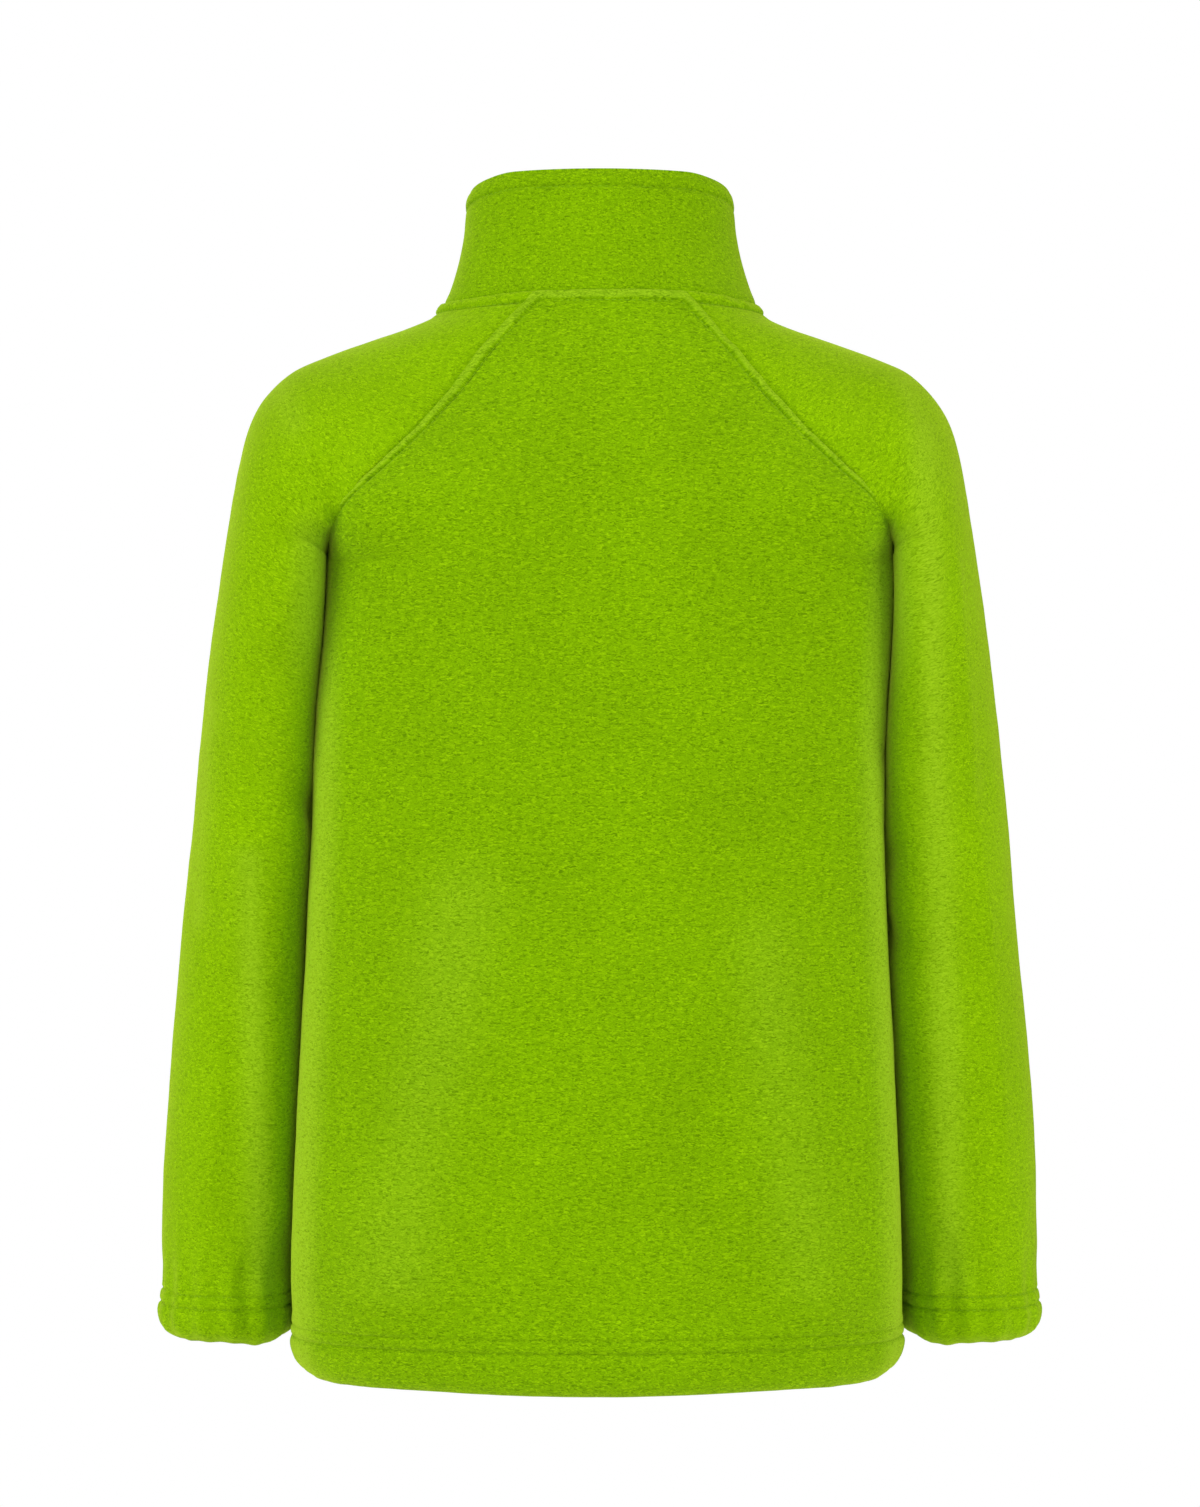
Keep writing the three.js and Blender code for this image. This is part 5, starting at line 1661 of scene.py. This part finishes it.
@dataclass
class PartRun:
    """One small part, repeated along lines."""

    name: str
    part: bpy.types.Mesh
    pitch_mm: float
    finish: bpy.types.Material
    turned_about: bool = False
    unevenness: float = 0.0
    seed: int = 1

    def build(self, lines: Sequence[StitchLine], tree: bpy.types.NodeTree) -> bpy.types.Object:
        """Sets the part along the lines.

        Args:
            lines: where the parts go.
            tree: the tree that repeats them.

        Returns:
            One plain mesh object.
        """
        corners, edges, out = [], [], []
        for line in lines:
            start = len(corners)
            corners.extend((line.at * MM).tolist())
            out.extend(line.out.tolist())
            edges.extend((i, i + 1) for i in range(start, len(corners) - 1))
        mesh = bpy.data.meshes.new(self.name + "_line")
        mesh.from_pydata(corners, edges, [])
        mesh.attributes.new("out", "FLOAT_VECTOR", "POINT").data.foreach_set("vector", np.ravel(out))
        carrier = placed(self.name + "_line", mesh)
        pattern = placed(self.name + "_part", self.part)
        modifier = carrier.modifiers.new("run", "NODES")
        modifier.node_group = tree
        values = {
            "Part": pattern,
            "Pitch": self.pitch_mm * MM,
            "Turned about": self.turned_about,
            "Unevenness": self.unevenness,
            "Seed": self.seed,
            "Finish": self.finish,
        }
        for item in tree.interface.items_tree:
            if item.in_out == "INPUT" and item.name in values:
                modifier[item.identifier] = values[item.name]
        depsgraph = bpy.context.evaluated_depsgraph_get()
        result = bpy.data.meshes.new_from_object(carrier.evaluated_get(depsgraph), depsgraph=depsgraph)
        result.name = self.name
        carrier.modifiers.remove(modifier)
        made = placed(self.name, result)
        for thing in (carrier, pattern):
            bpy.data.objects.remove(thing)
        return made


def mesh_from(name: str, fill: Callable[[bmesh.types.BMesh], None]) -> bpy.types.Mesh:
    """Makes a mesh with a function that fills an empty one."""
    work = bmesh.new()
    fill(work)
    mesh = bpy.data.meshes.new(name)
    work.to_mesh(mesh)
    work.free()
    return mesh


def stitch_part() -> bpy.types.Mesh:
    """One stitch: a short thread that dips into the cloth at both ends."""
    long_mm, thick_mm = 2.5, 0.42

    def fill(work: bmesh.types.BMesh) -> None:
        """Fills the mesh."""
        bmesh.ops.create_uvsphere(work, u_segments=6, v_segments=4, radius=1.0)
        for v in work.verts:
            x, y, z = v.co.z, v.co.x, v.co.y
            dip = -0.35 * thick_mm * x * x
            v.co = Vector((x * long_mm / 2, y * thick_mm / 2, z * thick_mm / 2 + dip)) * MM
        for f in work.faces:
            f.smooth = True
        bmesh.ops.recalc_face_normals(work, faces=work.faces)

    return mesh_from("stitch", fill)


# ---- the zip


@dataclass
class Zip:
    """The front zip: two tapes, moulded teeth, a bottom box, the slider and its pull."""

    depth: float = 2.4
    tape: float = 1.0
    tape_inner: float = 2.4  # inside the teeth, which clamp its edge
    tape_outer: float = 16.0
    tape_collar: float = 6.46
    tape_top: float = 0.985
    chain_top: float = 0.9
    foot_z: float = -503.7
    pitch: float = 1.55
    slider_at: float = 0.87
    box_z: float = -509.8
    pivot_y: float = -1.2

    def places(self, top: float) -> list[tuple[str, Array]]:
        """The rows down the zip: shares of the collar's height, then places on the fronts."""
        step = 3.0
        collar = spaced(top, 0.02, step / 62)
        end = float(level(self.foot_z, UNDERARM_Z))
        fronts = np.concatenate(
            [spaced(0.012, 1, step / YOKE_MM)[:-1], spaced(1.0, end, step / ROW_MM)]
        )
        return [("collar", collar), ("front", fronts)]

    def point(self, kind: str, place: Array, x: Array | float, depth: Array | float) -> Array:
        """Points of the zip's line, x to the left of the middle and depth in from the face of the cloth."""
        place, x, depth = np.broadcast_arrays(place, np.asarray(x, float), np.asarray(depth, float))
        side = np.where(x < 0, -1.0, 1.0)
        if kind == "collar":
            off = np.degrees(np.arcsin(np.abs(x) / (NECK_HALF_WIDTH * COLLAR_TAPER.k(place))))
            return collar_point(side * (180 - off), place, -depth)
        form = TRUNKS[Face.FRONT]
        return form.point(place, side * form.share_at(place, np.abs(x)), -depth)

    def rows(self, x: Callable[[str, Array], Array], depth: Array | float, top: float) -> Array:
        """A grid of points down the whole zip.

        Args:
            x: the distances from the middle, for a kind of row and its places.
            depth: how deep the points are.
            top: the share of the collar's height where the zip ends.

        Returns:
            Points in rows from the top.
        """
        made = []
        for kind, place in self.places(top):
            made.append(self.point(kind, place[:, None], x(kind, place), depth))
        return np.concatenate(made)

    def build_tape(self, side: Side) -> bpy.types.Object:
        """One tape, of even thickness, from inside the teeth out to its outer edge."""

        def across(kind: str, place: Array) -> Array:
            """The columns of the tape's rows."""
            narrow = (place < 0.02) if kind == "front" else np.full(place.shape, True)
            outer = np.where(narrow, self.tape_collar, self.tape_outer)
            share = np.linspace(0, 1, 9)[None]
            x = self.tape_inner + (outer[:, None] - self.tape_inner) * share
            return x if side is Side.LEFT else -x[:, ::-1]

        grids = []
        for depth in (self.depth, self.depth + self.tape):
            p = self.rows(across, depth, self.tape_top)
            key = np.linspace(0, 1, len(p))
            grids.append(Grid(key, p, laid_out(p), np.zeros(p.shape[:2])))
        return cloth_shell(f"tape_{side.name.lower()}", grids[0], grids[1])

    def centre_line(self) -> StitchLine:
        """The middle of the row of teeth and the direction out of it."""
        middle = self.depth + self.tape / 2

        def centre(kind: str, place: Array) -> Array:
            """One column, on the middle line."""
            return np.zeros((len(place), 1))

        line = self.rows(centre, middle, self.chain_top)[:, 0]
        out = self.rows(centre, middle - 1, self.chain_top)[:, 0] - line
        return StitchLine(line, unit(out))

    def tooth(self) -> bpy.types.Mesh:
        """One tooth: a block on the tape with a head that reaches past the middle, X along the zip."""

        def fill(work: bmesh.types.BMesh) -> None:
            """Fills the mesh."""
            for wide, start, end, thick in ((1.15, -0.75, 3.0, 2.2), (1.45, -0.95, 0.55, 1.5)):
                made = bmesh.ops.create_cube(work, size=1.0)["verts"]
                for v in made:
                    v.co = Vector((v.co.x * wide, mix(start, end, v.co.y + 0.5), v.co.z * thick)) * MM
            bmesh.ops.bevel(
                work, geom=list(work.edges), offset=0.16 * MM, segments=1, affect="EDGES", clamp_overlap=True
            )
            bmesh.ops.recalc_face_normals(work, faces=work.faces)

        return mesh_from("tooth", fill)

    def frame_at(self, kind: str, place: float, above: float, below: float) -> Matrix:
        """The place and tilt of a hard piece: x to the left, y up the zip, z out of the cloth."""
        depth = self.depth + self.tape / 2
        at, up_to, up_from = (
            Vector(self.point(kind, np.array(p), 0.0, depth)) for p in (place, above, below)
        )
        up = (up_to - up_from).normalized()
        right = Vector((1, 0, 0))
        turned = Matrix((right, up, right.cross(up))).transposed().to_4x4()
        return Matrix.Translation(at * MM) @ turned

    def solid(self, name: str, matrix: Matrix, parts: Sequence[bpy.types.Mesh]) -> bpy.types.Object:
        """Joins bevelled parts into one piece and puts it in its place."""

        def fill(work: bmesh.types.BMesh) -> None:
            """Fills the mesh."""
            for part in parts:
                work.from_mesh(part)
            work.transform(matrix)

        return placed(name, mesh_from(name, fill))

    def build_slider(self) -> bpy.types.Object:
        """The slider: two shield-shaped plates, the wedge between them, side flanges and an arched bridge."""
        shield = [(3.1, 5.5), (5.0, 3.6), (5.0, -1.2), (3.9, -5.5)]
        shield = [(-3.1, 5.5), *shield, (-3.9, -5.5), (-5.0, -1.2), (-5.0, 3.6)]
        parts = [plate(shield, 1.4, 2.2, 0.45), plate(shield, 1.4, -2.2, 0.45)]
        wedge = [(-2.5, 5.4), (2.5, 5.4), (1.6, 3.6), (0, 2.9), (-1.6, 3.6)]
        parts.append(plate(wedge, 4.0, 0, 0.15))
        for s in (-1, 1):
            flange = [(s * 4.9, 2.4), (s * 4.9, -2.26), (s * 4.2, -1.9), (s * 4.2, 2.4)]
            parts.append(plate(flange, 1.9, -1.35, 0.2))
            parts.append(plate(flange, 1.9, 1.35, 0.2))
        parts.append(self.bridge())
        return self.solid("slider", self.slider_frame(), parts)

    def slider_frame(self) -> Matrix:
        """The place and tilt of the slider."""
        return self.frame_at("collar", self.slider_at, self.slider_at + 0.08, self.slider_at - 0.08)

    def bridge(self) -> bpy.types.Mesh:
        """The arch on the slider's front plate that holds the pull."""

        def fill(work: bmesh.types.BMesh) -> None:
            """Fills the mesh with a rounded bar that rises, runs level and comes down."""
            path = [(3.1, 2.5), (3.1, 4.6), (2.85, 5.35), (2.2, 5.95), (1.2, 6.0), (-1.2, 6.0), (-2.2, 5.95)]
            path += [(-2.85, 5.35), (-3.1, 4.6), (-3.1, 2.5)]
            rings = []
            for i, (y, z) in enumerate(path):
                before, after = path[max(i - 1, 0)], path[min(i + 1, len(path) - 1)]
                along = Vector((0, after[0] - before[0], after[1] - before[1])).normalized()
                out = Vector((1, 0, 0)).cross(along)
                ring = []
                for k in range(8):
                    a = math.tau * (k + 0.5) / 8
                    offset = Vector((0.8 * math.cos(a), 0, 0)) + out * 0.66 * math.sin(a)
                    ring.append(work.verts.new((Vector((0, y, z)) + offset) * MM))
                rings.append(ring)
            for a, b in zip(rings, rings[1:]):
                for k in range(8):
                    work.faces.new((a[k], a[(k + 1) % 8], b[(k + 1) % 8], b[k]))
            work.faces.new(rings[0][::-1])
            work.faces.new(rings[-1])
            bmesh.ops.recalc_face_normals(work, faces=work.faces)
            for f in work.faces:
                f.smooth = True

        return mesh_from("bridge", fill)

    def build_pull(self) -> bpy.types.Object:
        """The pull: a tab with a window for the bridge, rounded edges and a shallow raised rim."""
        outline = [(-2.6, 0.6), (-2.6, -5.2), (-3.6, -8.2), (-3.6, -23.0), (-3.2, -24.2), (-2.2, -25.0)]
        outline += [(-x, y) for x, y in reversed(outline)]
        window = [(-1.4, -0.6), (-1.4, -6.0), (1.4, -6.0), (1.4, -0.6)]
        grip = [(-2.5, -9.6), (-2.5, -22.4), (-1.8, -23.4), (1.8, -23.4), (2.5, -22.4), (2.5, -9.6)]
        tab = holed_plate(outline, window, 1.2, 0.28)
        rim = holed_plate(grip, [(x * 0.72, y * 0.93 - 1.1) for x, y in grip], 1.44, 0.12)
        matrix = self.slider_frame() @ Matrix.Translation(Vector((0, self.pivot_y, 4.1)) * MM)
        return self.solid("pull", matrix, [tab, rim])

    def build_box(self) -> bpy.types.Object:
        """The bottom box: a bevelled block with a groove down its middle."""
        half = [(-5.7, 5.4), (-0.35, 5.4), (-0.35, -5.4), (-4.9, -5.4), (-5.7, -4.5)]
        other = [(-x, y) for x, y in reversed(half)]
        parts = [plate(half, 3.3, 0, 0.5), plate(other, 3.3, 0, 0.5)]
        parts.append(plate([(-0.6, 4.9), (0.6, 4.9), (0.6, -4.9), (-0.6, -4.9)], 2.4, 0, 0.2))
        g = float(level(self.box_z, UNDERARM_Z))
        return self.solid("box", self.frame_at("front", g, g - 0.03, g + 0.03), parts)


def plate(outline: Sequence[tuple[float, float]], thick: float, z: float, bevel: float) -> bpy.types.Mesh:
    """A flat plate with bevelled edges.

    Args:
        outline: its corners in millimetres.
        thick: its thickness.
        z: the height of its middle.
        bevel: the width of the bevel.

    Returns:
        The mesh, in metres.
    """

    def fill(work: bmesh.types.BMesh) -> None:
        """Fills the mesh."""
        low = [work.verts.new(Vector((x, y, z - thick / 2)) * MM) for x, y in outline]
        top = [work.verts.new(Vector((x, y, z + thick / 2)) * MM) for x, y in outline]
        work.faces.new(low)
        work.faces.new(top[::-1])
        count = len(outline)
        for i in range(count):
            j = (i + 1) % count
            work.faces.new((low[i], low[j], top[j], top[i]))
        bmesh.ops.recalc_face_normals(work, faces=work.faces)
        bmesh.ops.bevel(
            work, geom=list(work.edges), offset=bevel * MM, segments=2, affect="EDGES", profile=0.6
        )

    return mesh_from("plate", fill)


def holed_plate(
    outline: Sequence[tuple[float, float]],
    hole: Sequence[tuple[float, float]],
    thick: float,
    bevel: float,
) -> bpy.types.Mesh:
    """A flat plate with one hole and bevelled edges, in metres, from corners in millimetres."""

    def fill(work: bmesh.types.BMesh) -> None:
        """Fills the mesh."""
        rings = []
        for z in (-thick / 2, thick / 2):
            pair = []
            for corners in (outline, hole):
                ring = [work.verts.new(Vector((x, y, z)) * MM) for x, y in corners]
                pair.append(ring)
                for a, b in zip(ring, ring[1:] + ring[:1]):
                    work.edges.new((a, b))
            edges = [e for ring in pair for v in ring for e in v.link_edges]
            bmesh.ops.triangle_fill(work, edges=list(set(edges)), use_beauty=True)
            rings.append(pair)
        for k in (0, 1):
            low, top = rings[0][k], rings[1][k]
            for i in range(len(low)):
                j = (i + 1) % len(low)
                work.faces.new((low[i], low[j], top[j], top[i]))
        bmesh.ops.recalc_face_normals(work, faces=work.faces)
        bmesh.ops.dissolve_limit(work, angle_limit=0.02, verts=work.verts, edges=work.edges)
        sharp = [e for e in work.edges if e.calc_face_angle(0) > 0.5]
        bmesh.ops.bevel(work, geom=sharp, offset=bevel * MM, segments=2, affect="EDGES", profile=0.6)

    return mesh_from("holed_plate", fill)


# ---- the studio


@dataclass
class Studio:
    """The camera, the soft lights, the pale surround and the floor."""

    camera_y: float = 2.2
    camera_z: float = -0.21775
    lens_mm: float = 105.1
    floor_z: float = -1.1
    floor_radius: float = 2.4

    def build(self) -> None:
        """Makes the studio round the jacket."""
        scene = bpy.context.scene
        scene.view_settings.view_transform = "Standard"
        lens = bpy.data.cameras.new("camera")
        lens.lens, lens.sensor_width = self.lens_mm, 36.0
        camera = placed("camera", lens)
        camera.location = (0, self.camera_y, self.camera_z)
        camera.rotation_euler = (math.pi / 2, 0, math.pi)
        scene.camera = camera
        self.light("left_bank", (2.3, 1.3, 0.4), 1.8, 36)
        self.light("right_bank", (-2.3, 1.3, 0.2), 1.8, 34)
        self.light("key", (0.5, 2.7, 0.9), 1.6, 16)
        self.light("overhead", (0.2, 1.2, 2.4), 1.5, 16)
        self.light("front", (0.5, -2.4, 0.9), 2.0, 36)
        self.surround()
        self.floor()

    def light(self, name: str, place: tuple[float, float, float], size: float, power: float) -> None:
        """A large soft light that faces the jacket."""
        lamp = bpy.data.lights.new(name, "AREA")
        lamp.shape, lamp.size, lamp.energy = "SQUARE", size, power
        made = placed(name, lamp)
        made.location = place
        aim = Vector((0, 0, -0.22)) - Vector(place)
        made.rotation_euler = aim.to_track_quat("-Z", "Y").to_euler()

    def surround(self) -> None:
        """A white surround, brighter to the eye than the light that it gives."""
        world = bpy.data.worlds.new("white_surround")
        world.use_nodes = True
        tree = world.node_tree
        tree.nodes.clear()
        seen = add(tree, "ShaderNodeLightPath").outputs["Is Camera Ray"]
        lit = add(tree, "ShaderNodeBackground", {"Color": (1, 1, 1, 1), "Strength": 0.34})
        shown = add(tree, "ShaderNodeBackground", {"Color": (1, 1, 1, 1), "Strength": 1.0})
        both = add(tree, "ShaderNodeMixShader", in0=seen, in1=lit.outputs[0], in2=shown.outputs[0])
        add(tree, "ShaderNodeOutputWorld", in0=both.outputs[0])
        bpy.context.scene.world = world

    def floor(self) -> None:
        """A round pale floor as far below as the wearer's feet would be."""

        def fill(work: bmesh.types.BMesh) -> None:
            """Fills the mesh."""
            bmesh.ops.create_circle(work, cap_ends=True, segments=96, radius=self.floor_radius)
            bmesh.ops.translate(work, verts=work.verts, vec=(0, 0, self.floor_z))

        made = placed("floor", mesh_from("floor", fill))
        made.data.materials.append(StudioFloor().material())


# ---- putting it together


def attach(piece: bpy.types.Object, body: Body, slot: str, finish: bpy.types.Material | None = None) -> None:
    """Gives a piece its body and, where one is given, its finish."""
    if finish is not None:
        piece.data.materials.clear()
        piece.data.materials.append(finish)
    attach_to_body(piece, body.value)


@dataclass
class Finishes:
    """The finishes of the jacket."""

    trunk: bpy.types.Material = field(default_factory=lambda: BrushedFleece("brushed_fleece_body").material())
    # The sleeves' fleece is a paler copy of the body's: painted light that brightens the sleeves.
    arm: bpy.types.Material = field(
        default_factory=lambda: BrushedFleece(
            "brushed_fleece_sleeve", (1.8, 0.95), 1.2, "#658F00", "#82B300", "#9FCD06"
        ).material()
    )
    collar: bpy.types.Material = field(
        default_factory=lambda: BrushedFleece("brushed_fleece_collar", (1.7, 0.8), 1.1).material()
    )
    tape: bpy.types.Material = field(default_factory=lambda: WovenTape().material())
    thread: bpy.types.Material = field(default_factory=lambda: SpunThread().material())
    plastic: bpy.types.Material = field(default_factory=lambda: MouldedAcetal().material())
    metal: bpy.types.Material = field(default_factory=lambda: LacqueredZinc().material())


@dataclass(frozen=True)
class Cut:
    """How a cloth piece was cut: the width and length of its flat, and its flat area, in metres."""

    width: float
    length: float
    area: float


def main() -> None:
    """Builds the jacket piece by piece and then its studio."""
    logging.basicConfig(level=logging.INFO, format="%(message)s")
    Studio().build()
    finishes = Finishes()
    tree = run_tree()
    stitch = stitch_part()
    back = BodyPanel("cloth_back", "back", TRUNKS[Face.BACK])
    front = TRUNKS[Face.FRONT]
    left = BodyPanel("cloth_front_left", "front_left", front, Side.LEFT, 60)
    right = BodyPanel("cloth_front_right", "front_right", front, Side.RIGHT, 60)
    sleeves = [
        Sleeve(f"cloth_sleeve_{s.name.lower()}", f"sleeve_{s.name.lower()}", ARMS[s]) for s in Side
    ]
    cloths = [(p, finishes.trunk) for p in (back, left, right)]
    cloths += [(s, finishes.arm) for s in sleeves] + [(Collar(), finishes.collar)]
    hangs_from = {
        "cloth_back": ["sleeve_left", "sleeve_right", "collar"],
        "cloth_front_left": ["sleeve_left", "collar"],
        "cloth_front_right": ["sleeve_right", "collar"],
        "cloth_sleeve_left": ["collar"],
        "cloth_sleeve_right": ["collar"],
        "cloth_collar": ["back", "front_left", "front_right"],
    }
    for number, (maker, finish) in enumerate(cloths):
        piece = maker.build()
        attach(piece, Body.JACKET, "fleece", finish)
        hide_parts(maker.node)
        name = "stitches_" + maker.node
        run = PartRun(name, stitch, 3.1, finishes.thread, unevenness=0.06, seed=number + 1)
        stitches = run.build(maker.stitch_lines(), tree)
        attach(stitches, Body.JACKET, "fleece")
        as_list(hangs_from[piece.name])
        faces, sewn = len(piece.data.polygons), len(stitches.data.polygons)
        log.info("%s: %d faces, %d in its stitches", piece.name, faces, sewn)
    zipper = Zip()
    for side in Side:
        tape = zipper.build_tape(side)
        attach(tape, Body.JACKET, "zip_tape", finishes.tape)
        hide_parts("zip_" + tape.name)
        log.info("%s: %d faces", tape.name, len(tape.data.polygons))
    teeth = PartRun("teeth", zipper.tooth(), zipper.pitch, finishes.plastic, turned_about=True).build(
        [zipper.centre_line()], tree
    )
    hard = [
        (teeth, Body.JACKET, "zip_plastic", finishes.plastic, "zip_chain"),
        (zipper.build_box(), Body.JACKET, "zip_plastic", finishes.plastic, "zip_box"),
        (zipper.build_slider(), Body.JACKET, "zip_slider_metal", finishes.metal, "zip_slider"),
        (zipper.build_pull(), Body.PULL, "zip_slider_metal", finishes.metal, "zip_pull"),
    ]
    for piece, body, slot, finish, node in hard:
        attach(piece, body, slot, finish)
        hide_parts(node)
        log.info("%s: %d faces", piece.name, len(piece.data.polygons))


if __name__ == "__main__":
    main()
